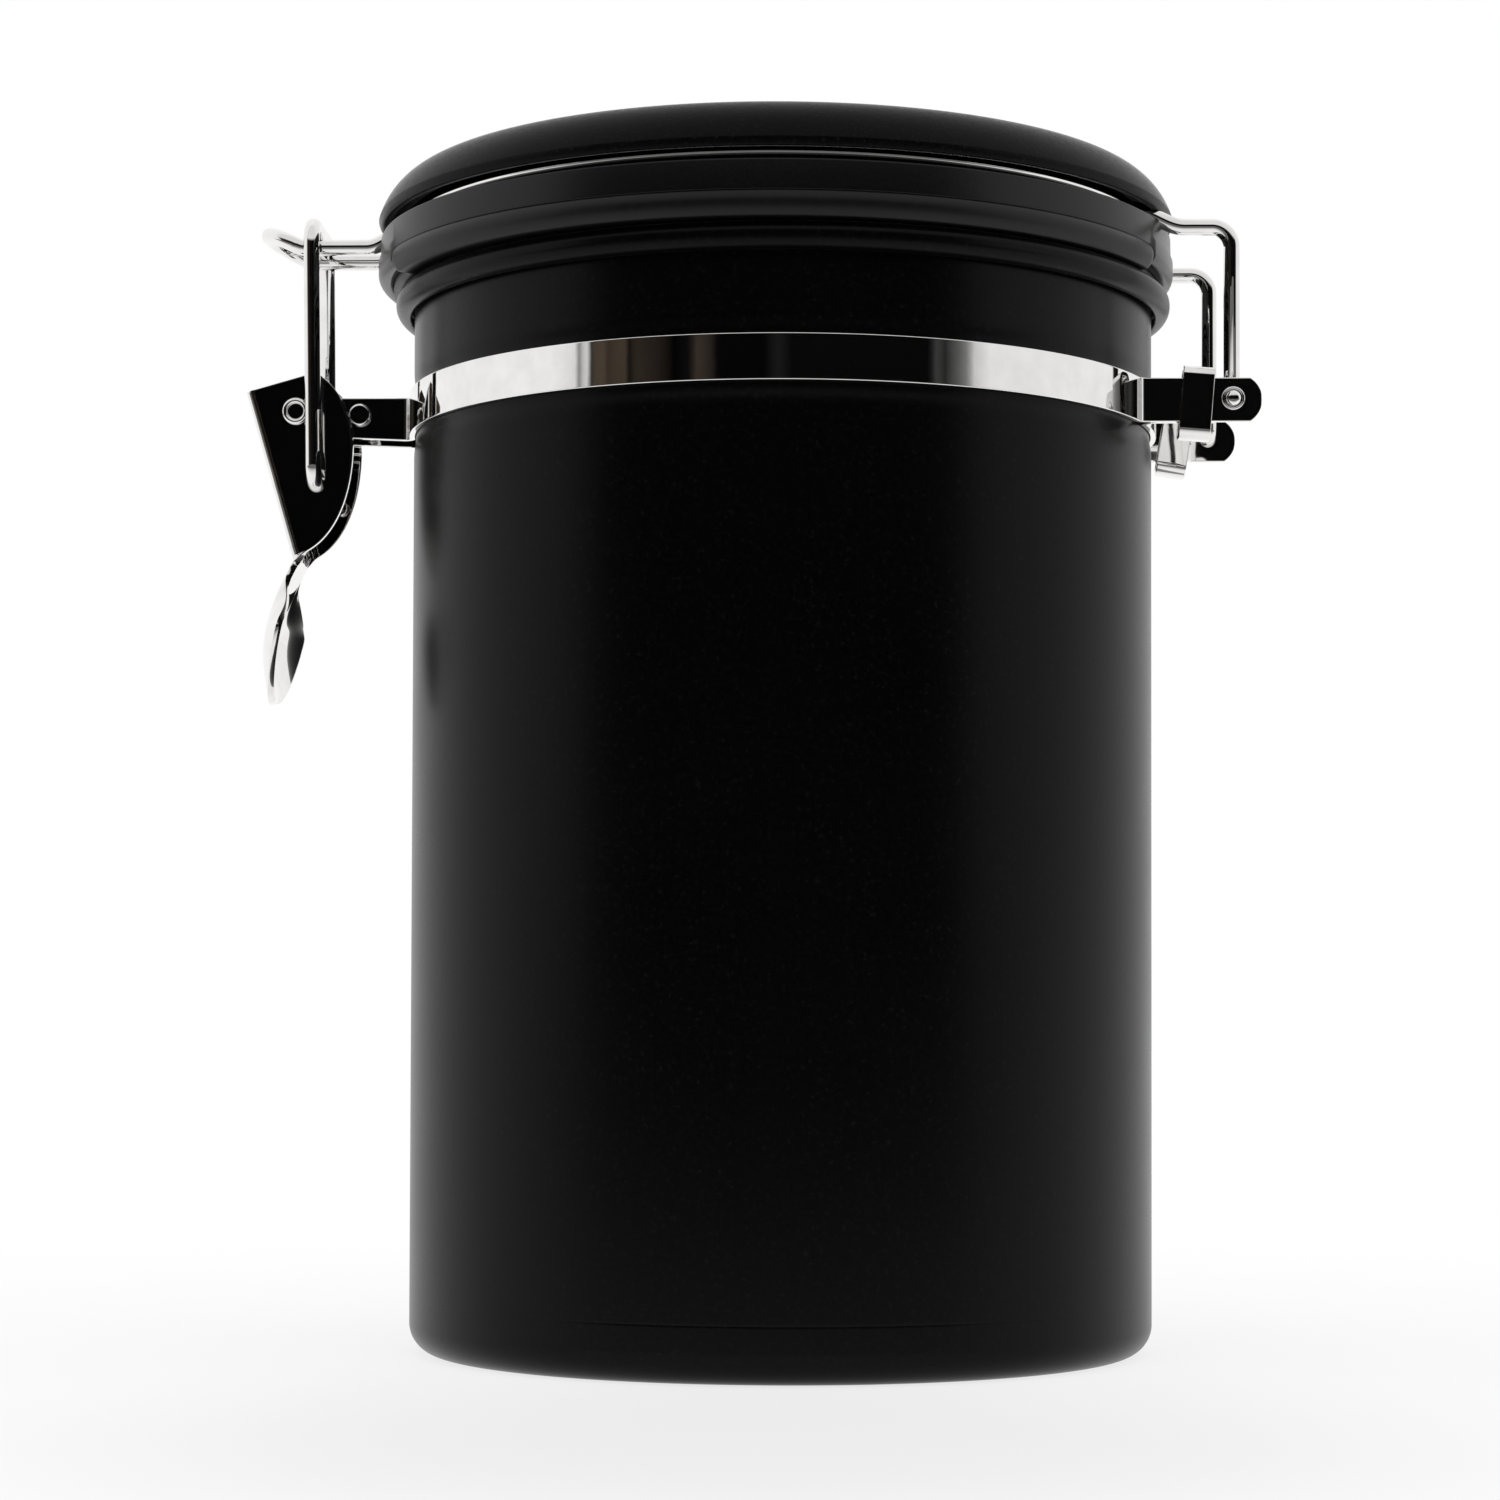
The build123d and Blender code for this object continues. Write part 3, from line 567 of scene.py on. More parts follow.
def band_edges(x):
    """Lower and upper edge by x: full height, round lug end, and the ear's cropped arc."""
    low, high = np.full_like(x, BAND_LOW), np.full_like(x, BAND_HIGH)
    rise = np.sqrt(np.clip(LUG_HALF**2 - np.clip(PIVOT[0] - x, 0, None)**2, 0, None))
    on_lug = x < LUG_START
    low = np.where(on_lug, LUG_MIDDLE - rise, low)
    high = np.where(on_lug, LUG_MIDDLE + rise, high)
    nose = (EAR_HALF**2 + EAR_SAG**2) / (2 * EAR_SAG)
    past = np.clip(x - (EAR_TIP - EAR_SAG), 0, EAR_SAG)
    cut = np.sqrt(np.clip(nose**2 - (past + nose - EAR_SAG)**2, 0, None))
    half = np.where(x > EAR_TIP - EAR_SAG, cut, EAR_HALF)
    on_ear = x > EAR_START
    return np.where(on_ear, BAND_MIDDLE - half, low), np.where(on_ear, BAND_MIDDLE + half, high)


print("lug edges at its round end:", *band_edges(np.array([PIVOT[0]])))

# %% [markdown]
# ## Two half bands
# The plan of a half band is lug, fold, arc, fold and ear. The rolled rim of the pin hole is
# put into the same mesh, because it is pressed out of the same sheet.


# %% Half bands
LUG_Y, LUG_FOLD = 3.85, 1.6
EAR_Y, EAR_FOLD = 21.0, 2.0


def upright_strip(name, plan, low, high, side=-1):
    """Band sheet along a plan (x, y), its normal at right angles; side 1 mirrors it in Y."""
    along, flat = tangents(plan), np.zeros(len(plan))
    path = stacked(plan[:, 0], -side * plan[:, 1], flat)
    normal = stacked(along[:, 1], side * along[:, 0], flat)
    up = np.tile([0.0, 0.0, 1.0], (len(plan), 1))
    return strip(name, path, normal, up, low, high, BAND_SHEET)


def half_band(name, side):
    """Plan of the half band from lug to ear; side -1 is the near half, 1 its mirror image."""
    front, front_angle = leave(BAND_RADIUS, LUG_Y, LUG_FOLD, -1)
    back, back_angle = leave(BAND_RADIUS, EAR_Y, EAR_FOLD, 1)
    lug_x = LUG_TIP + LUG_HALF * (1 - np.cos(np.radians(np.linspace(0, 90, 14))))
    ear_x = EAR_TIP - EAR_SAG * np.cos(np.radians(np.linspace(0, 90, 12)))
    lug = stacked(lug_x, np.full_like(lug_x, -LUG_Y))
    ear = stacked(ear_x, np.full_like(ear_x, -EAR_Y))
    plan = joined(lug, bend(front, LUG_FOLD, 90, front_angle),
                  bend((0, 0), BAND_RADIUS, heading_of(front), heading_of(back), 120),
                  bend(back, EAR_FOLD, back_angle, 90), ear)
    low, high = band_edges(plan[:, 0])
    return upright_strip(name, plan, low, high, side)


def hole_rim(side, pin_radius=1.62, rim_radius=0.24):
    """Rolled rim of the pin hole in an ear: a thin ring about the pin, in the sheet."""
    middle = HINGE + np.array([0, side * (EAR_Y + BAND_SHEET / 2), 0])
    return turned("hole_rim", bend((pin_radius, 0), rim_radius, 0, 360, 13), 48, middle, "y")


def merged(piece, other):
    """Put the faces of the other piece into the first one, and delete the other."""
    work = bmesh.new()
    work.from_mesh(piece.data)
    work.from_mesh(other.data)
    work.to_mesh(piece.data)
    work.free()
    bpy.data.objects.remove(other)
    return piece


def polished(piece, body, node):
    """Settle a piece of polished steel that stands for one node."""
    settle(piece, body, [node], STEEL)


polished(merged(half_band("band_half_near", -1), hole_rim(-1)), "canister", "clamp_band_near")
polished(merged(half_band("band_half_far", 1), hole_rim(1)), "canister", "clamp_band_far")

# %% [markdown]
# ## Strap and sleeves at the hinge
# Behind, a short strap runs round the canister, and its flanges lie inside the ears. A
# folded sleeve holds each pair together. It is a closed ribbon, so its path simply ends
# where it starts.


# %% Strap and sleeves
def rear_strap(flange_y=20.0, flange_from=66.0, flange_to=68.6):
    """Plan of the strap: a flange, a fold, the arc round the back, and the same again."""
    fold_y = flange_y - EAR_FOLD
    centre = np.array([math.sqrt((BAND_RADIUS + EAR_FOLD)**2 - fold_y**2), -fold_y])
    fold = bend(centre, EAR_FOLD, -90, heading_of(-centre) - 360)
    start = heading_of(centre)
    flange = np.array([[flange_to, -flange_y], [flange_from, -flange_y]])
    plan = joined(flange, fold, bend((0, 0), BAND_RADIUS, start, -start, 40),
                  (fold * [1, -1])[::-1], (flange * [1, -1])[::-1])
    flat = np.zeros(len(plan))
    return upright_strip("hinge_strap", plan, flat + BAND_LOW, flat + BAND_HIGH)


def sleeve(name, side, lean, splay, width=5.0, sheet=0.8, centre_x=65.9):
    """Rounded loop in the Y-Z plane, `width` wide along X, leaned by an angle about Y.

    The inner leaf stands `splay` mm further in at its foot than at its top.
    """
    half = sheet / 2
    outer, inner, top, bottom = 22.35 - half, 18.6 + half, 157.2 - half, 145.6 + half
    loop = corners_rounded([(-outer, top), (-outer, bottom), (-inner + splay, bottom),
                            (-inner, top)], [1.0, 1.3, 1.3, 1.0], closed=True)
    along = tangents(np.concatenate([loop[-2:-1], loop, loop[1:2]]))[1:-1]
    flat = np.zeros(len(loop))
    path = stacked(flat, loop[:, 0], loop[:, 1] - BAND_MIDDLE)
    normal = stacked(flat, along[:, 1], -along[:, 0])
    across = np.tile([1.0, 0.0, 0.0], (len(loop), 1))
    turn = math.radians(lean)
    swing = np.array([[math.cos(turn), 0, -math.sin(turn)], [0, side, 0],
                      [math.sin(turn), 0, math.cos(turn)]])
    place = path @ swing + np.array([centre_x, 0, BAND_MIDDLE])
    return strip(name, place, normal @ swing, across @ swing, flat - width / 2,
                 flat + width / 2, sheet)


polished(rear_strap(), "canister", "rear_bridge")
polished(sleeve("hinge_sleeve_near", 1, 4.5, 1.2), "canister", "ear_clip_near")
polished(sleeve("hinge_sleeve_far", -1, 9.0, 2.0), "canister", "ear_clip_far")

# %% [markdown]
# ## Rivets and spacers
# The latch turns on a hollow rivet whose ends are flared like a trumpet, and rests on a
# solid rivet with a low head. Both are turned about a line across the latch.

# %% Rivets and spacers
head = corners_rounded([(0, 4.35), (1.25, 4.35), (1.8, 4.35), (1.8, 5.4), (0, 5.4)],
                       [0, 0, 0.12, 0.35, 0])
stop_rivet = turned("stop_rivet", np.concatenate([head[::-1], head * [1, -1]]), 64, RIVET, "y")
polished(stop_rivet, "canister", "lug_rivet")

flare = joined([(1.25, 0)], bend((1.725, 5.82), 0.475, 180, 0, 18),
               [(2.0, 5.7), (1.7, 5.66), (1.7, 0)])
flare = np.concatenate([flare, (flare * [1, -1])[::-1], flare[:1]])
polished(turned("pivot_hollow_rivet", flare, 64, PIVOT, "y"), "canister", "pivot_eyelet")


def spacer(name, centre, inner, outer, edge=0.15):
    """Short tube that fills the room between the lugs, with broken edges."""
    end = LUG_Y - BAND_SHEET / 2
    ring = corners_rounded([(inner, -end), (outer, -end), (outer, end), (inner, end)],
                           [edge] * 4, closed=True, count=3)
    return turned(name, ring, 48, centre, "y")


polished(spacer("stop_spacer", RIVET, 1.25, 2.15), "canister", "lug_spacer")
polished(spacer("pivot_spacer_ring", PIVOT, 1.7, 2.6), "canister", "pivot_spacer")

# %% [markdown]
# ## Latch lever
# The lever is one pressed blank: a channel with two cheeks, a narrow neck, and a dished
# thumb piece. All of it is one sheet, so all of it is one grid whose rows run down the
# lever. First the place, the direction and the length of each row are worked out.


# %% Rows of the lever
LEVER_TILT = math.radians(15.9)
WEB_HALF, WEB_BEND, WEB_OUT, WEB_UP = 4.4, 1.3, 7.08, 5.3
BEND_LONG = WEB_BEND * math.pi / 2
CHANNEL_LONG, CHEEK_WIDE = 27.9, 15.3
FOOT_DOWN, NECK_HALF, LEAF_HALF, LEAF_DOWN = 28.66, 4.5, 12.5, 10.7
SPOON_RADIUS, SPOON_DOWN, DISH_RADIUS = 40.0, 18.6, 25.0
BOW, BOW_MIDDLE, BOW_REACH = 1.1, 117.0, 12.0


def arc_through(first, second, third, count=30):
    """Arc through three points: the centre has equal distance to all of them."""
    a, b, c = (np.array(p, float) for p in (first, second, third))
    centre = np.linalg.solve(2 * np.array([b - a, c - a]), np.array([b @ b - a @ a, c @ c - a @ a]))
    angles = np.unwrap([math.atan2(*(p - centre)[::-1]) for p in (a, b, c)])
    sweep = np.linspace(angles[0], angles[2], count)
    return centre + np.linalg.norm(a - centre) * stacked(np.cos(sweep), np.sin(sweep))


def lever_rows():
    """Rows of the lever: middle line, inward direction, half length and share of dish.

    The web is straight along the tilted axis. Below the web the middle line is an arc of
    SPOON_RADIUS about a line across the lever, bowed out by BOW (1 - t^2)^2. The half
    length is the cheek outline in the channel, and the leaf outline below it.
    """
    down = np.array([math.sin(LEVER_TILT), -math.cos(LEVER_TILT)])
    inward = np.array([math.cos(LEVER_TILT), math.sin(LEVER_TILT)])
    top = PIVOT[[0, 2]] - WEB_OUT * inward - WEB_UP * down
    outline = np.concatenate([
        [(0.77, 0.0), (0.835, 0.035)],
        arc_through((0.835, 0.035), (0.985, 0.26), (0.941, 0.50)),
        arc_through((0.941, 0.50), (0.737, 0.747), (0.18, 0.996)), [(0.16, 1.0)]])
    share = np.unique(np.concatenate([
        np.linspace(0, 0.04, 6), np.linspace(0.04, 0.95, 64), np.linspace(0.95, 1.0, 8)]))
    cheek = CHEEK_WIDE * np.interp(share, outline[:, 1], outline[:, 0])
    web = top + CHANNEL_LONG * share[:, None] * down
    foot = top + FOOT_DOWN * down
    centre = foot + np.array([math.sqrt(SPOON_RADIUS**2 - SPOON_DOWN**2), -SPOON_DOWN])
    widest, first, second = foot[1] - LEAF_DOWN, foot[1] - 0.25, foot[1] - 0.5
    shoulder = np.linspace(second, widest, 26)[1:]
    growth = ease((shoulder - widest) / (second - widest))
    tip_angle = np.radians(np.linspace(0, 90, 34))[1:]
    level = np.concatenate([[first], shoulder, widest - LEAF_HALF * np.sin(tip_angle)])
    leaf = np.concatenate([[NECK_HALF], LEAF_HALF - (LEAF_HALF - NECK_HALF) * growth,
                           LEAF_HALF * np.cos(tip_angle)])
    t = np.clip((level - BOW_MIDDLE) / BOW_REACH, -1, 1)
    x = centre[0] - np.sqrt(SPOON_RADIUS**2 - (level - centre[1])**2) - BOW * (1 - t**2)**2
    spoon = stacked(x, level)
    line = np.concatenate([web, foot[None], spoon])
    facing = np.concatenate([np.tile(inward, (len(web) + 1, 1)), (centre - spoon) / SPOON_RADIUS])
    half = np.concatenate([WEB_HALF + BEND_LONG + cheek - WEB_BEND, [NECK_HALF], leaf])
    drop = np.concatenate([[first], shoulder, np.full_like(tip_angle, widest)])
    dish = ease(np.clip((foot[1] - drop) / LEAF_DOWN, 0, 1))
    return line, facing, half, np.concatenate([np.zeros(len(web) + 1), dish])


print("lever rows:", len(lever_rows()[0]))

# %% [markdown]
# ## The sheet of the lever
# Each row follows the sheet from one edge to the other: flat web, bend, cheek. Further down
# the bend fades out and the row becomes the shallow dish. Solidify gives the sheet its
# thickness, and Bevel breaks the cut edges.


# %% Lever sheet
def lever_sheet():
    """Grid of the outer face: each row is cut at even shares of its own length s.

    Channel row: y = s up to 4.4, then the bend (4.4 + 1.3 sin t, 1.3 - 1.3 cos t), then the
    cheek at y = 5.7. Dish row: y = s, depth = 25 - sqrt(25^2 - s^2). The dish share blends
    the two.
    """
    line, facing, half, dish = lever_rows()
    share = np.linspace(-1, 1, 81)
    s = np.abs(share)[None] * half[:, None]
    turn = np.clip((s - WEB_HALF) / WEB_BEND, 0, math.pi / 2)
    past = np.clip(s - WEB_HALF - BEND_LONG, 0, None)
    channel_y = np.minimum(s, WEB_HALF) + WEB_BEND * np.sin(turn)
    channel_in = WEB_BEND * (1 - np.cos(turn)) + past
    dish_in = DISH_RADIUS - np.sqrt(DISH_RADIUS**2 - np.minimum(s, LEAF_HALF)**2)
    mix = dish[:, None]
    across = np.sign(share)[None] * ((1 - mix) * channel_y + mix * s)
    depth = (1 - mix) * channel_in + mix * dish_in
    x, z = (line[:, i:i + 1] + facing[:, i:i + 1] * depth for i in (0, 1))
    return stacked(x, across, z)


def bake(piece):
    """Replace a piece's mesh by the mesh that its modifiers give, and drop the modifiers."""
    view = bpy.context.evaluated_depsgraph_get()
    view.update()
    result = bpy.data.meshes.new_from_object(piece.evaluated_get(view))
    piece.modifiers.clear()
    piece.data = result


lever = add_surface("lever_blank", lever_sheet(), closed=False)
sheet = lever.modifiers.new("sheet", "SOLIDIFY")
sheet.thickness = BAND_SHEET * MM
sheet.offset = -1.0
sheet.use_even_offset = True
soften = lever.modifiers.new("broken edge", "BEVEL")
soften.width = 0.16 * MM
soften.segments = 2
soften.limit_method = "ANGLE"
soften.angle_limit = math.radians(50)
bake(lever)
lever.data.polygons.foreach_set("use_smooth", np.ones(len(lever.data.polygons), dtype=bool))
polished(lever, "lever", "latch_lever")

# %% [markdown]
# ## Bail
# The bail is a loop of 2.6 mm spring wire. Its two feet point inwards through the cheeks,
# and its top bar pulls down over the hook of the lid wire.

# %% Bail
WIRE_RADIUS = 1.3
FOOT_X, FOOT_Z, CROSSBAR_X, CROSSBAR_Z = -75.9755, 140.9782, -76.5755, 183.45
FOOT_END, BAIL_SIDE = -4.0, -8.7
near_half = [(FOOT_X, FOOT_END, FOOT_Z), (FOOT_X, BAIL_SIDE, FOOT_Z),
             (CROSSBAR_X, BAIL_SIDE, CROSSBAR_Z)]
bail_line = corners_rounded(near_half + [(x, -y, z) for x, y, z in near_half[::-1]],
                            [0, 3.0, 3.6, 3.6, 3.0, 0], count=14)
outward = np.tile([1.0, 0.0, 0.0], (len(bail_line), 1))
polished(wire("wire_bail", bail_line, outward, WIRE_RADIUS, 32), "bail", "latch_bail")

# %% [markdown]
# ## Lid wire
# One long wire makes the hinge pins, the ring that the lid snaps onto, and the hook in
# front. Half of it is drawn and the other half is its mirror image.


# %% Lid wire
WIRE_LEVEL, WIRE_BEND = 179.8, 3.0
RING_LEVEL, RING_RADIUS = 182.5, 59.8
HOOK_Y, LEG_Y = 5.9, 19.0


def lid_wire_line():
    """Pin, leg, bend to the ring, ring arc, bend to the hook, hook up and its round tip.

    The ring lies higher than the leg and the hook, with share^2 (3 - 2 share) of the step.
    """
    hinge_x, hinge_z = HINGE[[0, 2]]
    leg = corners_rounded([(hinge_x, -22.3, hinge_z), (hinge_x, -LEG_Y, hinge_z),
                           (hinge_x, -LEG_Y, WIRE_LEVEL), (66.4, -LEG_Y, WIRE_LEVEL)],
                          [0, 1.6, 3.2, 0], count=14)
    out, out_angle = leave(RING_RADIUS, LEG_Y, WIRE_BEND, 1)
    hook, hook_angle = leave(RING_RADIUS, HOOK_Y, WIRE_BEND, -1)
    start, stop = heading_of(out), heading_of(hook)
    x_in, x_out = np.linspace(67.6, out[0], 16), np.linspace(hook[0], -68.0, 12)
    plan = joined(
        stacked(x_in, np.full_like(x_in, -LEG_Y)),
        bend(out, WIRE_BEND, 90, out_angle), bend((0, 0), RING_RADIUS, start, stop, 150),
        bend(hook, WIRE_BEND, hook_angle, 90),
        stacked(x_out, np.full_like(x_out, -HOOK_Y)))
    x, y = plan.T
    share = np.clip(np.where(x > 0, (65.2 - x) / 8.0, (66.5 + x) / 6.5), 0, 1)
    level = WIRE_LEVEL + (RING_LEVEL - WIRE_LEVEL) * ease(share)
    round_lid = stacked(x, y, level) + LID_SHIFT
    tilt = math.radians(26.0)
    rise = np.array([-math.cos(tilt), 0.0, math.sin(tilt)])
    corner = np.array([-78.5755, -HOOK_Y, WIRE_LEVEL])
    hook_end = corner + rise * (4.0 * math.tan(tilt / 2) + 0.05)
    run = corners_rounded([round_lid[-1], corner, hook_end], [0, 3.9, 0], count=10)
    around = np.radians(np.linspace(0, 90, 18))[:, None]
    middle = hook_end * [1, 0, 1]
    nose = middle + HOOK_Y * (np.sin(around) * rise + np.cos(around) * np.array([0, -1.0, 0]))
    near = joined(leg, round_lid, run, nose)
    return joined(near, (near * [1, -1, 1])[::-1])


lid_line = lid_wire_line()
inside = np.array([0.0, 0.0, 140.0])
lid_wire = wire("wire_ring_and_hook", lid_line, lid_line - inside, WIRE_RADIUS, 28, 0.7)
polished(lid_wire, "lid", "ring_wire")
print("wire length mm:", np.linalg.norm(np.diff(lid_line, axis=0), axis=1).sum())

# %% [markdown]
# ## Lid cover
# The cover is one sheet, 1.5 mm thick: a low crown, an elliptic shoulder and a rounded lip.
# The section is one closed outline, outside down, inside back up.


# %% Cover
def cover_outline(sheet=1.5):
    """Crown arc, shoulder ellipse (r = c + a cos t, z = k + b sin t), lip, and the inside."""
    centre_r, centre_z, down = 56.4, 179.2, 11.4
    lip_z, lip_out, hole, top, rise = 183.5, 8.5, 10.55, 192.0, 1.4
    lift = (lip_z - centre_z) / down
    across = lip_out / math.sqrt(1 - lift**2)
    turn = np.linspace(math.pi / 2, math.asin(lift), 40)
    shoulder = stacked(centre_r + across * np.cos(turn), centre_z + down * np.sin(turn))
    crown_radius = (centre_r**2 + rise**2) / (2 * rise)
    r = np.linspace(hole, centre_r, 30)[:-1]
    crown = stacked(r, top - crown_radius + np.sqrt(crown_radius**2 - r**2))
    outside = joined(crown, shoulder)
    slope = tangents(outside)
    inside = (outside + sheet * stacked(slope[:, 1], -slope[:, 0]))[::-1]
    lip = corners_rounded([outside[-1], (64.4, 182.3), (63.0, 182.5), inside[0]],
                          [0, 0.4, 0.2, 0], count=8)
    return np.concatenate([outside, lip[1:-1], inside, outside[:1]])


cover = turned("lid_dome", cover_outline(), 288, LID_SHIFT)
settle(cover, "lid", ["lid_cover"], COAT)

# %% [markdown]
# ## Skirt and seal
# The skirt is a moulded ring. At the latch and at the hinge it reaches further down and out
# in a lobe. The section is therefore a function of the angle: the plain outline and the lobe
# outline have the same number of points and are blended by an S-shaped step at the lobe's
# two ends. The seal below it bulges out, and steps back where a lobe covers it.


# %% Skirt and seal
def lobe_share(angle, half_angle, soft=0.7):
    """1 within the lobes about +X and -X, 0 outside, with a smooth step between."""
    off = np.degrees(np.abs(np.arcsin(np.clip(np.sin(angle), -1, 1))))
    return ease(np.clip((half_angle + soft / 2 - off) / soft, 0, 1))


def swept_section(name, plain, lobed, columns=720, half_angle=22.0):
    """Blend of two outlines turned about Z: r and z = plain * (1 - w) + lobed * w."""
    angle = np.linspace(0, 2 * math.pi, columns + 1)
    w = lobe_share(angle, half_angle)
    r = plain[:, :1] * (1 - w) + lobed[:, :1] * w
    z = plain[:, 1:] * (1 - w) + lobed[:, 1:] * w
    return add_surface(name, stacked(r * np.cos(angle), r * np.sin(angle), z) + LID_SHIFT)


groove = [(64.5, 180.6), (60.6, 180.6), (60.6, 180.9), (58.0, 180.9)]
plain_ring = corners_rounded(
    [(58.0, 175.8), (62.6, 175.8), (63.5, 175.8), (64.5, 175.8), (64.5, 176.6), (64.5, 177.4),
     *groove], [0, 0, 0, 0.25, 0, 0, 0.4, 0.08, 0.14, 0.3], closed=True, hold=0)
lobed_ring = corners_rounded(
    [(58.0, 175.8), (62.5, 175.8), (62.6, 173.05), (64.9, 173.3), (64.9, 176.6), (64.55, 177.4),
     *groove], [0, 0, 0, 1.6, 0, 0, 0.4, 0.08, 0.14, 0.3], closed=True, hold=0)
skirt = swept_section("moulded_skirt", plain_ring, lobed_ring)
settle(skirt, "lid", ["lid_skirt"], NYLON)

bulge = arc_through((63.9, 172.05), (65.0, 174.11), (64.5, 175.8), 16)
plain_seal = np.concatenate([[(58.0, 175.75)], [(58.0, 172.05)], bulge - [0, 0.02],
                             [(58.0, 175.75)]])
lobed_seal = np.minimum(plain_seal, [62.4, np.inf])
seal = swept_section("seal_ring", plain_seal, lobed_seal, half_angle=22.2)
settle(seal, "lid", ["lid_gasket"], SILICONE)

# %% [markdown]
# ## Pieces kept from CAD
# The tray inside the lid and the small pieces of the valve are plain moulded parts with
# crisp edges, and the CAD meshes already have their shape. They only get their finish.

# %% Kept pieces
for node, finish in {"lid_liner": TRAY_PLASTIC, "valve_body": TRAY_PLASTIC,
                     "valve_cap": NYLON, "valve_retainer": TRAY_PLASTIC,
                     "valve_disc": CLEAR_SILICONE, "valve_filter": FELT}.items():
    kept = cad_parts[node]
    kept.data.materials.clear()
    kept.data.materials.append(finish)
    print(node, "->", finish.name)

# %% [markdown]
# ## Studio
# The photograph was taken on a white sweep with white walls at the sides and behind, and
# a dark room behind the camera, under a pale ceiling. The dark room is what makes chrome
# look like chrome. The world shader gives just this to mirror rays: the tones run round by
# compass direction in degrees, 0 towards the camera, and the ceiling begins where the sine of
# the elevation is 0.35. Diffuse rays get an even soft light, and the camera sees plain white.


# %% Tones of the room
WALL_TONES = [
    (-180, 1.0), (-72, 0.94), (-64, 0.8), (-62.5, 0.74), (-61.6, 0.05), (-60.4, 0.6),
    (-58.8, 0.7), (-57.8, 0.03), (-56, "#4a4036"), (-52.5, "#4a4036"), (-51.5, "#15120f"),
    (-50.5, "#40372e"), (-46, "#40372e"), (-45, "#15120f"), (-43, "#2f2822"), (-36, "#221d19"),
    (-31, 0.0004), (-26, 0.004), (-24, "#38302a"), (-20, "#2a2420"), (-18, 0.001), (-4, 0.001),
    (0, 0.01), (4, 0.002), (46, 0.002), (48.5, 0.06), (50, 0.008), (55, 0.1), (58.5, 0.22),
    (60, 0.6), (66, 0.86), (180, 1.0)]
CEILING_EDGE, CEILING_TONE, WHITE = (0.35, 0.48), (0.8, 0.8, 0.8, 1), (1, 1, 1, 1)
print("tones round the room:", len(WALL_TONES))

# %% [markdown]
# ## Three kinds of light
# One world can answer each kind of ray in its own way. Two mix shaders choose between soft
# light, the room's tones and white.


# %% World
def mixed(tree, share, first, second):
    """Mix of two shaders: share 0 gives the first one, share 1 the second."""
    return add_node(tree, "ShaderNodeMixShader",
                    {"Fac": share, 1: first, 2: second}).outputs["Shader"]


def shine(tree, colour, strength):
    """Light of the world in one colour."""
    return add_node(tree, "ShaderNodeBackground",
                    {"Color": colour, "Strength": strength}).outputs["Background"]


def studio_world():
    """World of three lights: room tones for mirror rays, soft light, white for the camera."""
    world = bpy.data.worlds.new("white sweep and dark room")
    bpy.context.scene.world = world
    world.use_nodes = True
    tree = world.node_tree
    tree.nodes.clear()
    output = add_node(tree, "ShaderNodeOutputWorld")
    heading = add_node(tree, "ShaderNodeTexCoord").outputs["Generated"]
    split = add_node(tree, "ShaderNodeSeparateXYZ", {"Vector": heading})
    south = add_node(tree, "ShaderNodeMath", {0: split.outputs["Y"], 1: -1.0},
                     operation="MULTIPLY")
    angle = add_node(tree, "ShaderNodeMath", {0: split.outputs["X"], 1: south.outputs["Value"]},
                     operation="ARCTAN2")
    turn = between(tree, angle.outputs["Value"], 0.0, 1.0, -math.pi, math.pi)
    wall = toned(tree, turn, [(degree / 360 + 0.5, tone) for degree, tone in WALL_TONES])
    ceiling = between(tree, split.outputs["Z"], 0.0, 1.0, *CEILING_EDGE)
    room = add_node(tree, "ShaderNodeMix", {"Factor": ceiling, "A": wall, "B": CEILING_TONE},
                    data_type="RGBA", blend_type="LIGHTEN")
    ray = add_node(tree, "ShaderNodeLightPath")
    mirror_ray = add_node(tree, "ShaderNodeMath", {0: ray.outputs["Is Glossy Ray"],
                                                   1: ray.outputs["Is Transmission Ray"]},
                          operation="MAXIMUM")
    lighting = mixed(tree, mirror_ray.outputs["Value"], shine(tree, WHITE, 0.95),
                     shine(tree, room.outputs["Result"], 1.0))
    seen = mixed(tree, ray.outputs["Is Camera Ray"], lighting, shine(tree, WHITE, 1.0))
    tree.links.new(seen, output.inputs["Surface"])


studio_world()
print("world ready")
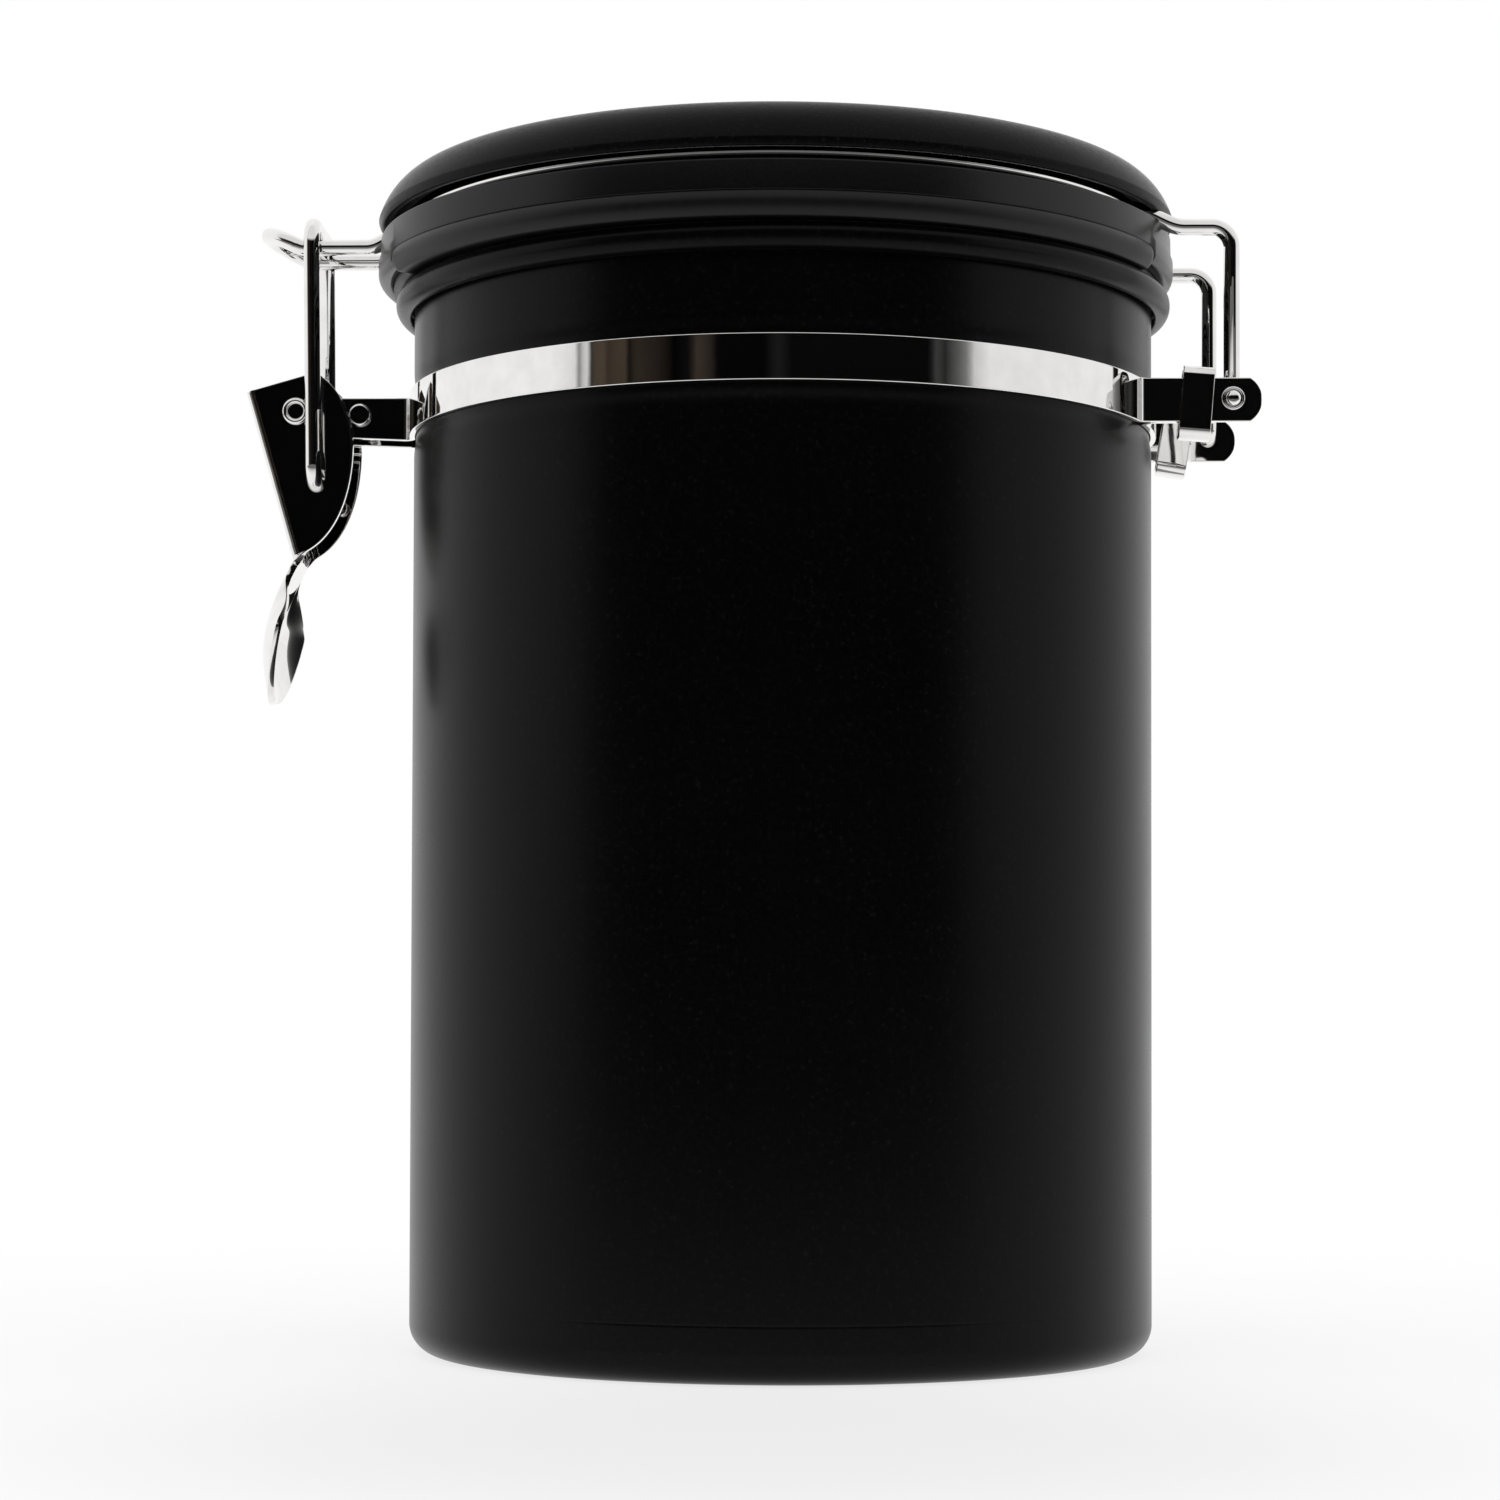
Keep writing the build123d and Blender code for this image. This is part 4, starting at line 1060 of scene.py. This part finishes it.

# %% [markdown]
# ## Floor
# The floor is white board. Close to the canister it is partly a real surface that takes the
# shadow. Further out it turns to plain white light, so that it meets the white background
# without a line. In a spot in front of the canister the glow is dimmed: a painted shadow. For
# mirror rays it gets darker towards the camera, as a floor does that runs into a dark room.


# %% Floor sheet
def floor_board():
    """Flat rings of board that mix a lit surface with a glow, by distance in mm."""
    radius = np.array([0, 80, 160, 320, 640, 1500, 6000.0])[:, None]
    angle = np.linspace(0, 2 * math.pi, 97)
    level = np.zeros((len(radius), len(angle)))
    rings = stacked(radius * np.cos(angle), radius * np.sin(angle), level)
    board = add_surface("floor", rings[:, ::-1], closed=False)
    made, tree, output, place = finish_named("matt white board")
    far = add_node(tree, "ShaderNodeVectorMath", {0: place}, operation="LENGTH")
    spot = add_node(tree, "ShaderNodeVectorMath", {0: place, 1: (0.0, -130 * MM, 0.0)},
                    operation="DISTANCE")
    split = add_node(tree, "ShaderNodeSeparateXYZ", {"Vector": place})
    fibre = toned(tree, noise(tree, place, 30), [(0.3, "#f3f3f3"), (0.7, "#f5f5f5")])
    board_white = add_node(tree, "ShaderNodeBsdfDiffuse", {"Color": fibre})
    fade = between(tree, far.outputs["Value"], 0.79, 1.0, 80 * MM, 300 * MM)
    # Painted shadow: the glow is dimmed in a spot in front of the canister, down to 0.87 at its
    # middle.
    painted_shadow = between(tree, spot.outputs["Value"], 0.87, 1.0, 20 * MM, 130 * MM,
                    interpolation_type="SMOOTHSTEP")
    front = between(tree, split.outputs["Y"], 0.14, 1.0, -500 * MM, -120 * MM)
    ray = add_node(tree, "ShaderNodeLightPath")
    bright = add_node(tree, "ShaderNodeMix", {"Factor": ray.outputs["Is Glossy Ray"], "A": painted_shadow,
                                              "B": front}, data_type="FLOAT")
    glow = add_node(tree, "ShaderNodeEmission", {"Color": WHITE,
                                                 "Strength": bright.outputs["Result"]})
    both = mixed(tree, fade, board_white.outputs["BSDF"], glow.outputs["Emission"])
    tree.links.new(both, output.inputs["Surface"])
    board.data.materials.append(made)
    return board


floor_board()
print("floor ready")

# %% [markdown]
# ## Camera
# The camera stands 0.6 m away, a little above a quarter of the canister's height. The lens is
# shifted up, as a product photographer does it, so that upright edges stay upright.

# %% Camera
camera_data = bpy.data.cameras.new("camera")
camera_data.sensor_width = 36.0
camera_data.lens = 87.06
camera_data.shift_y = 0.10
camera = bpy.data.objects.new("camera", camera_data)
bpy.context.scene.collection.objects.link(camera)
camera.rotation_mode = "XYZ"
camera.location = [place * MM for place in (13.62, -592.95, 55.27)]
camera.rotation_euler = [math.radians(turn) for turn in (91.754, -0.16, 1.804)]
bpy.context.scene.camera = camera
bpy.context.scene.view_settings.view_transform = "Standard"
print("camera at", list(camera.location))
